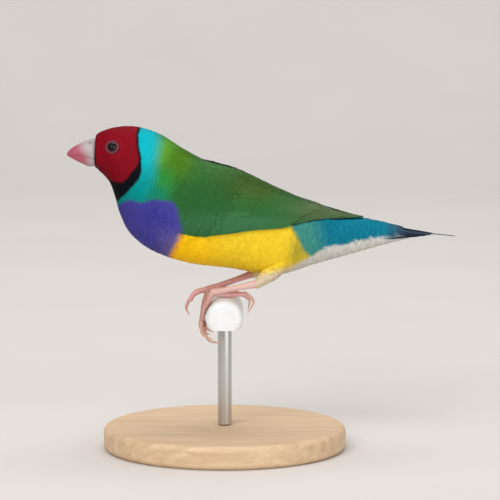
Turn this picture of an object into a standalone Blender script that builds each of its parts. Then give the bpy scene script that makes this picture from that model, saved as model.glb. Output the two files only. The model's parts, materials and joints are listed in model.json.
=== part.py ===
"""A gouldian finch, life size, perched on a short cut length of round rod that a plain stand holds.

The bird faces -X with its left side towards -Y, and the stand's base rests on Z = 0.
"""
import math

import bmesh
import bpy
from mathutils import Matrix, Vector

MM = 0.001
GAP = 0.3 * MM
SECTION_POWER = 2.2
BODY_SIDES = 28
BODY_STEP = 0.36
MIDLINE_CLEARANCE = 0.3 * MM

# The body's stations, in mm: top x and z, bottom x and z, half width. They lean back from the bill
# base to the tail like the ribs of a fan, so that each one crosses the body squarely.
STATIONS = (
    (-57.2, 107.8, -57.5, 98.2, 4.3),    # bill base
    (-55.8, 109.8, -56.1, 97.1, 5.2),    # forehead
    (-50.1, 111.7, -52.3, 93.0, 7.3),    # eye
    (-42.9, 111.9, -50.4, 88.0, 8.4),    # hind crown
    (-34.9, 109.4, -48.6, 81.7, 10.6),   # neck
    (-26.6, 104.6, -45.1, 75.1, 13.2),   # shoulders
    (-17.2, 100.2, -37.7, 69.2, 14.5),   # breast
    (-7.0, 97.0, -25.3, 64.9, 14.6),     # mid body
    (3.0, 92.2, -10.4, 63.0, 13.2),      # belly
    (12.7, 87.2, 4.7, 60.6, 10.6),       # legs
    (21.7, 84.0, 18.5, 64.4, 7.4),       # vent
    (30.6, 81.0, 30.2, 67.7, 5.1),       # rump
    (39.6, 79.0, 41.0, 70.8, 3.7),       # tail coverts
    (48.6, 76.8, 49.4, 72.9, 2.4),       # ends of the tail coverts
)
HEAD_END = 3.25
NECK_END = 4.9
TORSO_END = 9.45
RUMP_END = 11.1
BODY_END = 13.0

EYE_STATION = 1.97
EYE_ANGLE = math.radians(73)
EYE_RADIUS = 2.15 * MM
EYE_SINK = 1.2 * MM
LID_RADIUS = 2.0 * MM
LID_THICKNESS = 0.42 * MM

BILL_TIP_X = -66.85
BILL_BASE_X = -57.85
BILL_MOUTH_Z = 102.1
BILL_UPPER_HEIGHT = 5.8
BILL_LOWER_DEPTH = 3.9
BILL_HALF_WIDTH = 3.9
BILL_GAPE_DROP = 0.9
NOSTRIL_RADIUS = 0.45 * MM

PERCH_X = -12.65
PERCH_Z = 47.1
PERCH_RADIUS = 6.4
PERCH_FLAT = 3.9
PERCH_HALF_LENGTH = 15.0

ROD_RADIUS = 2.4 * MM
BASE_RADIUS = 42.0 * MM
BASE_HEIGHT = 8.0 * MM
BASE_EDGE = 2.0 * MM

# The folded wing's upper and lower edge, as angles in degrees round the body from its top line, at
# whole steps of the stations from WING_START on.
WING_START = 5.5
WING_TOP = (48, 32, 21, 14, 10, 8, 5)
WING_LOW = (96, 110, 99, 81, 63, 44, 11)
WING_CORE_END = 10.9
WING_CORE_LIFT = 0.85
WING_CORE_EDGE_LIFT = 0.6
WING_ROOT_LIFT = 0.35
VANE_THICKNESS = 0.55
VANE_TILT = 0.24
SHAFT_RISE = 0.1

# Tiers of the folded wing, from the lowest to the topmost. Each has its count of vanes, then for
# its first and its last vane the root's station and share of the way across the wing, the tip's
# station and share, the lift of the outer face and the width, both in mm.
WING_TIERS = {
    "primaries": {
        "count": 7, "root": ((8.3, 0.88), (8.2, 0.55)), "tip": ((11.45, 0.5), (10.0, 0.45)),
        "lift": (0.9, 1.3), "width": (4.0, 4.6), "broad": True,
    },
    "secondaries": {
        "count": 6, "root": ((7.3, 0.86), (7.3, 0.4)), "tip": ((8.95, 0.86), (9.75, 0.4)),
        "lift": (1.25, 1.5), "width": (4.0, 4.6), "broad": True,
    },
    "primary coverts": {
        "count": 3, "root": ((6.85, 0.9), (6.8, 0.8)), "tip": ((8.2, 0.9), (8.0, 0.8)),
        "lift": (1.3, 1.5), "width": (3.0, 3.4), "broad": False,
    },
    "tertials": {
        "count": 3, "root": ((7.0, 0.38), (7.2, 0.12)), "tip": ((9.7, 0.32), (9.0, 0.1)),
        "lift": (1.55, 1.65), "width": (6.2, 6.4), "broad": True,
    },
    "greater coverts": {
        "count": 7, "root": ((6.45, 0.88), (6.5, 0.16)), "tip": ((7.75, 0.82), (7.85, 0.2)),
        "lift": (1.7, 1.8), "width": (4.2, 4.6), "broad": False,
    },
    "median coverts": {
        "count": 6, "root": ((5.95, 0.86), (6.0, 0.16)), "tip": ((6.9, 0.86), (7.0, 0.16)),
        "lift": (2.0, 2.1), "width": (4.4, 4.6), "broad": False,
    },
    "lesser coverts": {
        "count": 5, "root": ((5.6, 0.8), (5.6, 0.2)), "tip": ((6.3, 0.84), (6.35, 0.14)),
        "lift": (2.2, 2.3), "width": (4.2, 4.4), "broad": False,
    },
    "scapulars": {
        "count": 4, "root": ((5.8, 0.08), (7.0, 0.05)), "tip": ((6.9, 0.07), (8.3, 0.06)),
        "lift": (1.9, 1.8), "width": (5.0, 5.6), "broad": False,
    },
}

# Tail feathers, from the middle pair to the outermost: tip's x and z, root's z, and the width.
TAIL_ROOT_X = 39.0
TAIL_FEATHERS = (
    {"tip": (58.5, 74.75), "root_z": 78.2, "width": 4.4, "y": 1.2},
    {"tip": (57.0, 74.7), "root_z": 77.4, "width": 4.6, "y": 1.7},
    {"tip": (54.4, 74.7), "root_z": 76.6, "width": 4.6, "y": 2.1},
    {"tip": (52.2, 74.6), "root_z": 75.9, "width": 4.4, "y": 2.4},
    {"tip": (50.4, 74.5), "root_z": 75.2, "width": 4.2, "y": 2.7},
    {"tip": (48.9, 74.4), "root_z": 74.6, "width": 4.0, "y": 2.9},
)
TAIL_ROOF = math.radians(18)
# Coverts on each side of the tail's core: station and angle of root and tip, and the width in mm.
TAIL_COVERTS = (
    ((11.45, 28), (12.75, 22), 3.2),
    ((11.3, 75), (12.35, 66), 3.2),
    ((11.3, 150), (12.2, 158), 3.0),
)
PIN_TIP_X = 66.9
PIN_TIP_Z = 74.0
PIN_HALF_WIDTH = 0.4
PIN_Y = 0.6
FOOT_Y = 8.0


def clear_scene():
    for item in list(bpy.data.objects):
        bpy.data.objects.remove(item, do_unlink=True)


def make_collection(name):
    collection = bpy.data.collections.new(name)
    bpy.context.scene.collection.children.link(collection)
    return collection


def make_material(name, color, roughness, metallic=0.0):
    material = bpy.data.materials.new(name)
    material.use_nodes = True
    shader = material.node_tree.nodes["Principled BSDF"]
    shader.inputs["Base Color"].default_value = (*color, 1.0)
    shader.inputs["Roughness"].default_value = roughness
    shader.inputs["Metallic"].default_value = metallic
    return material


def add_object(name, mesh, collection):
    item = bpy.data.objects.new(name, mesh)
    collection.objects.link(item)
    return item


def mesh_from(bm, name):
    bmesh.ops.recalc_face_normals(bm, faces=bm.faces)
    mesh = bpy.data.meshes.new(name)
    bm.to_mesh(mesh)
    bm.free()
    return mesh


def smooth_row(rows, place):
    """The values at a place along rows, one row to a whole step, on one smooth curve."""
    last = len(rows) - 1
    i = min(max(math.floor(place), 0), last - 1)
    f = place - i
    p1 = rows[i]
    p2 = rows[i + 1]
    p0 = rows[i - 1] if i > 0 else [2 * a - b for a, b in zip(p1, p2)]
    p3 = rows[i + 2] if i + 2 <= last else [2 * b - a for a, b in zip(p1, p2)]
    return [
        b + 0.5 * f * (c - a + f * (2 * a - 5 * b + 4 * c - d + f * (3 * b - a - 3 * c + d)))
        for a, b, c, d in zip(p0, p1, p2, p3)
    ]


def signed_power(value, power):
    return math.copysign(abs(value) ** power, value)


def section_frame(station):
    """Centre, half height vector and half width of the section at a station."""
    top_x, top_z, low_x, low_z, half_width = smooth_row(STATIONS, station)
    top = Vector((top_x, 0, top_z)) * MM
    low = Vector((low_x, 0, low_z)) * MM
    return (top + low) / 2, (top - low) / 2, half_width * MM


def body_point(station, angle):
    """Point of the body's surface: angle 0 is the top line, and a positive one is to the left."""
    centre, up, half_width = section_frame(station)
    rise = signed_power(math.cos(angle), 2 / SECTION_POWER)
    out = signed_power(math.sin(angle), 2 / SECTION_POWER)
    return centre + up * rise + Vector((0, -1, 0)) * half_width * out


def body_normal(station, angle):
    step = 0.02
    along = body_point(station + step, angle) - body_point(station - step, angle)
    around = body_point(station, angle + step) - body_point(station, angle - step)
    return around.cross(along).normalized()


def lifted_point(station, angle, lift):
    """Point over the body's surface, by a lift in metres along its normal."""
    return body_point(station, angle) + body_normal(station, angle) * lift


def loft(rings):
    """Closed solid through rings of equal length, with flat ends."""
    bm = bmesh.new()
    rows = [[bm.verts.new(point) for point in ring] for ring in rings]
    count = len(rows[0])
    for low, high in zip(rows, rows[1:]):
        for i in range(count):
            j = (i + 1) % count
            bm.faces.new((low[i], low[j], high[j], high[i]))
    bm.faces.new(rows[0])
    bm.faces.new(rows[-1])
    return bm


def slab(outer, inner):
    """Closed thin solid between two like grids of points, split alike on both faces."""
    bm = bmesh.new()
    tops = [[bm.verts.new(point) for point in row] for row in outer]
    lows = [[bm.verts.new(point) for point in row] for row in inner]
    rows = len(tops)
    columns = len(tops[0])
    for i in range(rows - 1):
        for j in range(columns - 1):
            for grid in (tops, lows):
                corners = (grid[i][j], grid[i + 1][j], grid[i + 1][j + 1], grid[i][j + 1])
                bm.faces.new((corners[0], corners[1], corners[2]))
                bm.faces.new((corners[0], corners[2], corners[3]))
    rim = [(0, j) for j in range(columns)]
    rim += [(i, columns - 1) for i in range(1, rows)]
    rim += [(rows - 1, j) for j in range(columns - 2, -1, -1)]
    rim += [(i, 0) for i in range(rows - 2, 0, -1)]
    for (i, j), (k, m) in zip(rim, rim[1:] + rim[:1]):
        bm.faces.new((tops[i][j], tops[k][m], lows[k][m]))
        bm.faces.new((tops[i][j], lows[k][m], lows[i][j]))
    return bm


def body_bmesh(lift=0.0):
    """The body's loft from the bill base to the ends of the tail coverts, grown by a lift."""
    count = round(BODY_END / BODY_STEP)
    rings = []
    for k in range(count + 1):
        station = BODY_END * k / count
        angles = [2 * math.pi * i / BODY_SIDES for i in range(BODY_SIDES)]
        rings.append([lifted_point(station, angle, lift) for angle in angles])
    return loft(rings)


def section_plane(station):
    """A point and the normal, towards the tail, of the plane that holds the section at a station."""
    centre, up, _ = section_frame(station)
    return centre, up.cross(Vector((0, 1, 0))).normalized() * -1


def cut_off(bm, point, normal):
    """Cut away what lies behind a plane, and close the mesh there."""
    geometry = bm.verts[:] + bm.edges[:] + bm.faces[:]
    bmesh.ops.bisect_plane(bm, geom=geometry, plane_co=point, plane_no=normal, clear_inner=True)
    edges = [edge for edge in bm.edges if edge.is_boundary]
    bmesh.ops.contextual_create(bm, geom=edges)


def keep_side(bm, station, side):
    """Cut away all of the mesh before (side 1) or behind (side -1) a station, and half a gap more."""
    centre, normal = section_plane(station)
    cut_off(bm, centre + normal * side * GAP / 2, normal * side)


def evaluated_mesh(item):
    bpy.context.view_layer.update()
    graph = bpy.context.evaluated_depsgraph_get()
    return bpy.data.meshes.new_from_object(item.evaluated_get(graph))


def apply_modifiers(item):
    mesh = evaluated_mesh(item)
    item.modifiers.clear()
    item.data = mesh


def keep_largest(item):
    """Leave only the closed surface with the largest volume."""
    bm = bmesh.new()
    bm.from_mesh(item.data)
    waiting = set(bm.verts)
    shells = []
    while waiting:
        stack = [waiting.pop()]
        shell = []
        while stack:
            vert = stack.pop()
            shell.append(vert)
            for edge in vert.link_edges:
                other = edge.other_vert(vert)
                if other in waiting:
                    waiting.remove(other)
                    stack.append(other)
        shells.append(shell)
    if len(shells) > 1:
        spans = []
        for shell in shells:
            faces = {face for vert in shell for face in vert.link_faces}
            volume = sum(
                face.calc_area() * face.normal.dot(face.calc_center_median()) for face in faces
            )
            spans.append(abs(volume))
        largest = spans.index(max(spans))
        drop = [v for k, shell in enumerate(shells) if k != largest for v in shell]
        bmesh.ops.delete(bm, geom=drop, context="VERTS")
    bm.to_mesh(item.data)
    bm.free()


def fuse(item, pieces, solver="EXACT"):
    """Join closed pieces to an object by one union, and remove them."""
    group = make_collection("Fusing")
    for piece in pieces:
        group.objects.link(piece)
    union = item.modifiers.new("Fuse", "BOOLEAN")
    union.operation = "UNION"
    union.solver = solver
    union.operand_type = "COLLECTION"
    union.collection = group
    apply_modifiers(item)
    for piece in pieces:
        bpy.data.objects.remove(piece, do_unlink=True)
    bpy.data.collections.remove(group)
    keep_largest(item)


def carve(item, cutters, solver="EXACT"):
    """Cut closed cutters out of an object, and remove them."""
    for cutter in cutters:
        cut = item.modifiers.new("Carve", "BOOLEAN")
        cut.operation = "DIFFERENCE"
        cut.solver = solver
        cut.object = cutter
        apply_modifiers(item)
    for cutter in cutters:
        bpy.data.objects.remove(cutter, do_unlink=True)
    keep_largest(item)


def ball(name, collection, centre, radius, segments, stretch=(1, 1, 1)):
    bm = bmesh.new()
    bmesh.ops.create_uvsphere(bm, u_segments=segments, v_segments=segments // 2, radius=radius)
    matrix = Matrix.Translation(centre) @ Matrix.Diagonal((*stretch, 1))
    bmesh.ops.transform(bm, matrix=matrix, verts=bm.verts)
    return add_object(name, mesh_from(bm, name), collection)


def rod(name, collection, start, end, radius, sides):
    """Round bar between two points."""
    bm = bmesh.new()
    axis = end - start
    bmesh.ops.create_cone(
        bm, cap_ends=True, segments=sides, radius1=radius, radius2=radius, depth=axis.length
    )
    matrix = Matrix.Translation((start + end) / 2) @ axis.to_track_quat("Z", "Y").to_matrix().to_4x4()
    bmesh.ops.transform(bm, matrix=matrix, verts=bm.verts)
    return add_object(name, mesh_from(bm, name), collection)


def tapered_tube(name, collection, points, radii, sides=8, steps=3):
    """Round tube along a smooth curve through points, with a radius at each."""
    rows = [(*point, radius) for point, radius in zip(points, radii)]
    count = (len(rows) - 1) * steps
    line = [smooth_row(rows, k / steps) for k in range(count + 1)]
    curve = bpy.data.curves.new(name, "CURVE")
    curve.dimensions = "3D"
    curve.bevel_depth = 1.0
    curve.bevel_resolution = max(sides // 2 - 2, 0)
    curve.use_fill_caps = True
    spline = curve.splines.new("POLY")
    spline.points.add(count)
    for point, (x, y, z, radius) in zip(spline.points, line):
        point.co = (x, y, z, 1)
        point.radius = radius
    item = bpy.data.objects.new(name, curve)
    collection.objects.link(item)
    mesh = evaluated_mesh(item)
    bm = bmesh.new()
    bm.from_mesh(mesh)
    bmesh.ops.remove_doubles(bm, verts=bm.verts, dist=0.00001)
    solid = add_object(name + "_solid", mesh_from(bm, name), collection)
    bpy.data.objects.remove(item, do_unlink=True)
    return solid


def finish_node(item, name, material, parts):
    item.name = name
    item.data.name = name
    item.data.materials.clear()
    item.data.materials.append(material)
    item.data.shade_smooth()
    item.data.set_sharp_from_angle(angle=math.radians(40))
    for collection in list(item.users_collection):
        collection.objects.unlink(item)
    parts.objects.link(item)
    return item


def body_piece(name, first, last, scratch):
    """Length of the body between two stations, parted from its neighbours by the gap."""
    bm = body_bmesh()
    bmesh.ops.recalc_face_normals(bm, faces=bm.faces)
    if first > 0:
        keep_side(bm, first, 1)
    if last < BODY_END:
        keep_side(bm, last, -1)
    return add_object(name, mesh_from(bm, name), scratch)


def grown_body(scratch):
    """The body made larger by the gap, which cuts what lies against it."""
    return add_object("grown_body", mesh_from(body_bmesh(GAP), "grown"), scratch)


def eye_place(side):
    angle = EYE_ANGLE * side
    point = body_point(EYE_STATION, angle)
    normal = body_normal(EYE_STATION, angle)
    return point, normal


def make_head(scratch):
    head = body_piece("head_shape", 0, HEAD_END, scratch)
    lids = []
    sockets = []
    for side in (1, -1):
        point, normal = eye_place(side)
        turn = normal.to_track_quat("Z", "Y").to_matrix().to_4x4()
        bpy.ops.mesh.primitive_torus_add(
            major_segments=18, minor_segments=5, major_radius=LID_RADIUS, minor_radius=LID_THICKNESS
        )
        lid = bpy.context.object
        lid.data.transform(Matrix.Translation(point) @ turn)
        lids.append(lid)
        centre = point - normal * EYE_SINK
        sockets.append(ball("socket", scratch, centre, EYE_RADIUS + GAP, 14))
    fuse(head, lids)
    carve(head, sockets)
    return head


def make_eye(side, scratch):
    point, normal = eye_place(side)
    return ball("eye_shape", scratch, point - normal * EYE_SINK, EYE_RADIUS, 14)


def bill_rings(upper):
    """Sections of one half of the bill, from the tip to the face."""
    rings = []
    shares = (0.02, 0.08, 0.18, 0.34, 0.52, 0.7, 0.86, 1.0)
    for share in shares:
        x = BILL_TIP_X + (BILL_BASE_X - BILL_TIP_X) * share
        mouth = BILL_MOUTH_Z - BILL_GAPE_DROP * max(0, share - 0.55) / 0.45
        half_width = BILL_HALF_WIDTH * share ** 0.65 * (1 if upper else 0.93)
        if upper:
            height = BILL_UPPER_HEIGHT * share ** 0.55 + (BILL_MOUTH_Z - mouth)
            start = mouth + 0.15
        else:
            height = -BILL_LOWER_DEPTH * min(1, share / 0.82) ** 0.85 + (BILL_MOUTH_Z - mouth)
            start = mouth - 0.15
        ring = []
        for k in range(11):
            angle = math.radians(-90 + 18 * k)
            out = signed_power(math.sin(angle), 0.9)
            ring.append(Vector((x, half_width * out, start + height * math.cos(angle))) * MM)
        rings.append(ring)
    return rings


def make_bill_upper(scratch):
    upper = add_object("bill_shape", mesh_from(loft(bill_rings(True)), "bill"), scratch)
    nostrils = []
    for side in (1, -1):
        centre = Vector((BILL_BASE_X - 1.1, side * 2.35, BILL_MOUTH_Z + 4.55)) * MM
        nostrils.append(ball("nostril", scratch, centre, NOSTRIL_RADIUS, 8, (1.5, 1, 0.9)))
    carve(upper, nostrils)
    return upper


def make_bill_lower(scratch):
    return add_object("bill_shape", mesh_from(loft(bill_rings(False)), "bill"), scratch)


def wing_angle(station, share):
    """Angle round the body at a share of the way from the folded wing's upper to its lower edge."""
    place = station - WING_START
    rows = [(math.radians(a), math.radians(b)) for a, b in zip(WING_TOP, WING_LOW)]
    top, low = smooth_row(rows, place)
    return top + (low - top) * share


def blend(pair, share):
    """Value between the two of a pair, number by number."""
    first, last = pair
    if isinstance(first, tuple):
        return tuple(a + (b - a) * share for a, b in zip(first, last))
    return first + (last - first) * share


def vane_width(share):
    """Width of a vane at a share of its length, as a share of its full width."""
    if share < 0.6:
        return 0.62 + 0.38 * math.sin(math.pi / 2 * share / 0.6)
    return max(0.28, math.sqrt(1 - ((share - 0.6) / 0.42) ** 2))


def wing_place(station, share, side, shift, along):
    """Station and angle of a point shifted across a vane that runs along a step over the wing."""
    angle = wing_angle(station, share)
    step = 0.05
    long = (body_point(station + step, angle) - body_point(station - step, angle)).length / (2 * step)
    round_way = (body_point(station, angle + step) - body_point(station, angle - step)).length / (2 * step)
    turn = wing_angle(station + along[0] * 0.1, share + along[1] * 0.1) - angle
    forward = Vector((along[0] * 0.1 * long, turn * round_way)).normalized()
    return station - forward.y * shift / long, (angle + forward.x * shift / round_way) * side


def keep_from_midline(point, side):
    out = -point.y * side
    if out < MIDLINE_CLEARANCE:
        point.y = -side * MIDLINE_CLEARANCE
    return point


def wing_vane(side, root, tip, lift, width, broad, scratch):
    """One feather of the folded wing, hugging the body, its root end sunk in the wing's core."""
    shares = (0, 0.3, 0.6, 0.84, 1) if broad else (0, 0.4, 0.78, 1)
    columns = (-1, 0, 1) if broad else (-1, 1)
    along = (tip[0] - root[0], tip[1] - root[1])
    outer = []
    inner = []
    for share in shares:
        station = root[0] + along[0] * share
        across = root[1] + along[1] * share
        half = width / 2 * vane_width(share) * MM
        high_row = []
        low_row = []
        for column in columns:
            place = wing_place(station, across, side, half * column, along)
            rise = lift + VANE_TILT * column + SHAFT_RISE * (1 - abs(column))
            free = max(0.0, station - WING_CORE_END + 1.2)
            floor_lift = min(WING_ROOT_LIFT + 0.5 * free, rise - VANE_THICKNESS)
            high_row.append(keep_from_midline(lifted_point(*place, rise * MM), side))
            low_row.append(keep_from_midline(lifted_point(*place, floor_lift * MM), side))
        outer.append(high_row)
        inner.append(low_row)
    return add_object("vane", mesh_from(slab(outer, inner), "vane"), scratch)


def make_wing_core(side, scratch):
    """Thin shell over the body's side that carries the vanes."""
    outer = []
    inner = []
    steps = 13
    across = 6
    for k in range(steps + 1):
        station = WING_START + (WING_CORE_END - WING_START) * k / steps
        high_row = []
        low_row = []
        for j in range(across + 1):
            share = 0.04 + 0.92 * j / across
            crown = math.sin(math.pi * j / across) ** 0.5 * min(1, k / 2, (steps - k) / 2)
            lift = WING_CORE_EDGE_LIFT + (WING_CORE_LIFT - WING_CORE_EDGE_LIFT) * crown
            angle = wing_angle(station, share) * side
            high_row.append(lifted_point(station, angle, lift * MM))
            low_row.append(lifted_point(station, angle, -GAP))
        outer.append(high_row)
        inner.append(low_row)
    return add_object("wing_shape", mesh_from(slab(outer, inner), "wing"), scratch)


def make_wing(side, scratch):
    wing = make_wing_core(side, scratch)
    vanes = []
    for tier in WING_TIERS.values():
        for k in range(tier["count"]):
            share = k / (tier["count"] - 1)
            root = blend(tier["root"], share)
            tip = blend(tier["tip"], share)
            lift = blend(tier["lift"], share) + 0.04 * (k % 2)
            width = blend(tier["width"], share)
            vanes.append(wing_vane(side, root, tip, lift, width, tier["broad"], scratch))
    fuse(wing, vanes)
    carve(wing, [grown_body(scratch)])
    return wing


def tail_vane(feather, side, scratch):
    """One tail feather, leaning outwards like one side of a roof."""
    root = Vector((TAIL_ROOT_X, side * feather["y"] * 0.75, feather["root_z"]))
    tip_x, tip_z = feather["tip"]
    tip = Vector((tip_x, side * feather["y"] * 0.5, tip_z))
    out = Vector((0, side * math.cos(TAIL_ROOF), -math.sin(TAIL_ROOF)))
    up = Vector((0, side * math.sin(TAIL_ROOF), math.cos(TAIL_ROOF)))
    outer = []
    inner = []
    for share in (0, 0.35, 0.65, 0.87, 1):
        centre = root.lerp(tip, share)
        centre.z -= 0.5 * math.sin(math.pi * share)
        half = feather["width"] / 2 * vane_width(share) * (1 - 0.3 * share)
        rows = []
        for lift in (VANE_THICKNESS / 2, -VANE_THICKNESS / 2):
            row = [centre + out * half * column + up * (lift + SHAFT_RISE * (1 - abs(column)))
                   for column in (-1, 0, 1)]
            rows.append([point * MM for point in row])
        outer.append(rows[0])
        inner.append(rows[1])
    return add_object("vane", mesh_from(slab(outer, inner), "vane"), scratch)


def tail_pin(side, scratch):
    """Long fine end of one of the two middle tail feathers."""
    tip_x, tip_z = TAIL_FEATHERS[0]["tip"]
    start = Vector((tip_x - 4, side * PIN_Y, tip_z + 0.45))
    bend = Vector((tip_x, side * PIN_Y, tip_z - 0.05))
    end = Vector((PIN_TIP_X, side * PIN_Y, PIN_TIP_Z))
    points = [point * MM for point in (start, bend, end)]
    radii = [PIN_HALF_WIDTH * MM, PIN_HALF_WIDTH * MM, PIN_HALF_WIDTH * 0.6 * MM]
    return tapered_tube("pin", scratch, points, radii, 6, 2)


def tail_covert(side, root, tip, width, scratch):
    """Covert on the tail's core, between two places that are each a station and an angle."""
    outer = []
    inner = []
    for share in (0, 0.4, 0.78, 1):
        station = root[0] + (tip[0] - root[0]) * share
        angle = math.radians(root[1] + (tip[1] - root[1]) * share) * side
        spread = width / 2 * vane_width(share) / section_frame(station)[2] * MM
        high_row = []
        low_row = []
        for column in (-1, 1):
            place = (station, angle + spread * column)
            high_row.append(lifted_point(*place, (0.1 + 0.45 * share) * MM))
            low_row.append(lifted_point(*place, -0.5 * MM))
        outer.append(high_row)
        inner.append(low_row)
    return add_object("vane", mesh_from(slab(outer, inner), "vane"), scratch)


def make_tail(scratch):
    """Closed tail: a core that ends the body, six pairs of vanes in steps, and coverts over them."""
    tail = body_piece("tail_shape", RUMP_END, BODY_END, scratch)
    vanes = []
    for side in (1, -1):
        vanes += [tail_vane(feather, side, scratch) for feather in TAIL_FEATHERS]
        vanes.append(tail_pin(side, scratch))
        vanes += [tail_covert(side, *covert, scratch) for covert in TAIL_COVERTS]
    fuse(tail, vanes)
    return tail


def perch_point(radius, angle, y):
    """Point round the perch: angle in degrees from the top, forwards; y in mm."""
    turn = math.radians(angle)
    x = PERCH_X - radius * math.sin(turn)
    z = PERCH_Z + radius * math.cos(turn)
    return Vector((x, y, z)) * MM


# Each leg's hock, in mm, its y outwards, and its foot joint: the distance from the perch's axis and
# the angle from the top of the perch, forwards.
LEGS = {
    "left": {"side": -1, "hock": (-0.9, 7.0, 58.5), "joint": (9.3, 27)},
    "right": {"side": 1, "hock": (-1.8, 7.0, 60.4), "joint": (9.3, 38)},
}
# Each toe: angles round the perch, distances from its axis, the spread outwards at its end, and the
# claw's bend and tip as pairs of angle and distance.
GRIP = 7.55
TOES = {
    "left": (
        {"angles": (40, 66, 92, 118), "radii": (8.2, GRIP, GRIP, GRIP), "spread": 0.3,
         "claw": ((152, 9.7), (184, 9.0))},
        {"angles": (40, 60, 80, 100), "radii": (8.1, GRIP, GRIP, GRIP), "spread": 3.1,
         "claw": ((130, 9.3), (155, 8.3))},
        {"angles": (40, 58, 76, 92), "radii": (8.1, GRIP, GRIP, GRIP), "spread": -2.9,
         "claw": ((121, 9.3), (145, 8.3))},
        {"angles": (8, -12, -31, -45), "radii": (7.8, GRIP, 8.6, 10.4), "spread": -3.0,
         "claw": ((-66, 10.9), (-86, 7.9))},
    ),
    "right": (
        {"angles": (46, 56, 66, 75), "radii": (10.2, 11.6, 12.4, 12.6), "spread": -0.6,
         "claw": ((88, 13.4), (98, 12.4))},
        {"angles": (50, 68, 88, 106), "radii": (8.2, GRIP, GRIP, GRIP), "spread": 2.9,
         "claw": ((136, 9.3), (160, 8.3))},
        {"angles": (50, 66, 84, 98), "radii": (8.2, GRIP, GRIP, GRIP), "spread": -3.1,
         "claw": ((128, 9.3), (152, 8.3))},
        {"angles": (18, -4, -24, -43), "radii": (7.9, GRIP, GRIP, 7.9), "spread": -3.0,
         "claw": ((-68, 9.3), (-88, 8.0))},
    ),
}
ANKLE_LENGTH = 5.4
TOE_RADIUS = 1.05
TOE_END_RADIUS = 0.75
CLAW_RADIUS = 0.56
CLAW_TIP_RADIUS = 0.14


def make_foot(name, scratch):
    side = LEGS[name]["side"]
    joint = perch_point(*LEGS[name]["joint"], side * FOOT_Y)
    pieces = []
    for toe in TOES[name]:
        count = len(toe["angles"])
        points = [joint]
        radii = [TOE_RADIUS]
        for k, (angle, radius) in enumerate(zip(toe["angles"], toe["radii"])):
            share = (k + 1) / count
            y = side * (FOOT_Y + toe["spread"] * min(1, share * 1.4))
            points.append(perch_point(radius, angle, y))
            radii.append(TOE_RADIUS + (TOE_END_RADIUS - TOE_RADIUS) * share)
        pieces.append(tapered_tube("toe", scratch, points, [r * MM for r in radii], 8, 2))
        (bend_angle, bend_radius), (tip_angle, tip_radius) = toe["claw"]
        end_angle = toe["angles"][-1]
        end_radius = toe["radii"][-1]
        back = math.copysign(6, bend_angle)
        claw_points = [
            perch_point(end_radius + 0.15, end_angle - back, y),
            perch_point((end_radius + bend_radius) / 2 + 0.35, (end_angle + bend_angle) / 2, y),
            perch_point(bend_radius, bend_angle, y),
            perch_point(tip_radius, tip_angle, y),
        ]
        claw_radii = [CLAW_RADIUS * MM, CLAW_RADIUS * MM, 0.4 * MM, CLAW_TIP_RADIUS * MM]
        pieces.append(tapered_tube("claw", scratch, claw_points, claw_radii, 6, 1))
    hock, _ = leg_ends(name)
    ankle = joint + (hock - joint).normalized() * ANKLE_LENGTH * MM
    pieces.append(tapered_tube("ankle", scratch, [joint, ankle], [1.3 * MM, 1.1 * MM], 8, 2))
    foot = ball("foot_shape", scratch, joint, 1.45 * MM, 10)
    fuse(foot, pieces)
    centre = Vector((PERCH_X, 0, PERCH_Z)) * MM
    reach = Vector((0, (PERCH_HALF_LENGTH + 4) * MM, 0))
    hole = rod("hole", scratch, centre - reach, centre + reach, PERCH_RADIUS * MM + GAP, 32)
    carve(foot, [hole])
    return foot


def leg_ends(name):
    side = LEGS[name]["side"]
    x, y, z = LEGS[name]["hock"]
    hock = Vector((x, side * y, z)) * MM
    joint = perch_point(*LEGS[name]["joint"], side * FOOT_Y)
    return hock, joint


def make_leg(name, scratch):
    hock, joint = leg_ends(name)
    along = (joint - hock).normalized()
    start = hock + along * 0.3 * MM
    end = joint - along * (ANKLE_LENGTH * MM + GAP)
    points = [start, start.lerp(end, 0.16), start.lerp(end, 0.5), end]
    radii = [1.4 * MM, 1.25 * MM, 1.02 * MM, 1.1 * MM]
    return tapered_tube("leg_shape", scratch, points, radii, 8, 2)


def make_thigh(name, scratch):
    """Feathered thigh, cut square at the hock and cut clear of the belly that it comes out of."""
    hock, joint = leg_ends(name)
    along = (joint - hock).normalized()
    side = LEGS[name]["side"]
    hip = Vector((7.5, side * 4.8, 68.5)) * MM
    knee = Vector((3.9, side * 6.4, 63.1)) * MM
    shank = hock + Vector((1.5, 0, 1.6)) * MM
    points = [hip, knee, shank, hock - along * 0.4 * MM]
    radii = [4.2 * MM, 3.4 * MM, 2.7 * MM, 1.8 * MM]
    thigh = tapered_tube("thigh_shape", scratch, points, radii, 12, 2)
    bm = bmesh.new()
    bm.from_mesh(thigh.data)
    cut_off(bm, hock, -along)
    bmesh.ops.recalc_face_normals(bm, faces=bm.faces)
    bm.to_mesh(thigh.data)
    bm.free()
    carve(thigh, [grown_body(scratch)])
    return thigh


def make_perch(scratch):
    """Round bar with rounded ends and a flat underside."""
    centre = Vector((PERCH_X, 0, PERCH_Z)) * MM
    reach = Vector((0, PERCH_HALF_LENGTH * MM, 0))
    perch = rod("perch_shape", scratch, centre - reach, centre + reach, PERCH_RADIUS * MM, 28)
    bevel = perch.modifiers.new("Round ends", "BEVEL")
    bevel.width = 2.4 * MM
    bevel.segments = 3
    bevel.limit_method = "ANGLE"
    bevel.angle_limit = math.radians(60)
    apply_modifiers(perch)
    bm = bmesh.new()
    bm.from_mesh(perch.data)
    cut_off(bm, centre - Vector((0, 0, PERCH_FLAT)) * MM, Vector((0, 0, 1)))
    bmesh.ops.recalc_face_normals(bm, faces=bm.faces)
    bm.to_mesh(perch.data)
    bm.free()
    return perch


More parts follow.
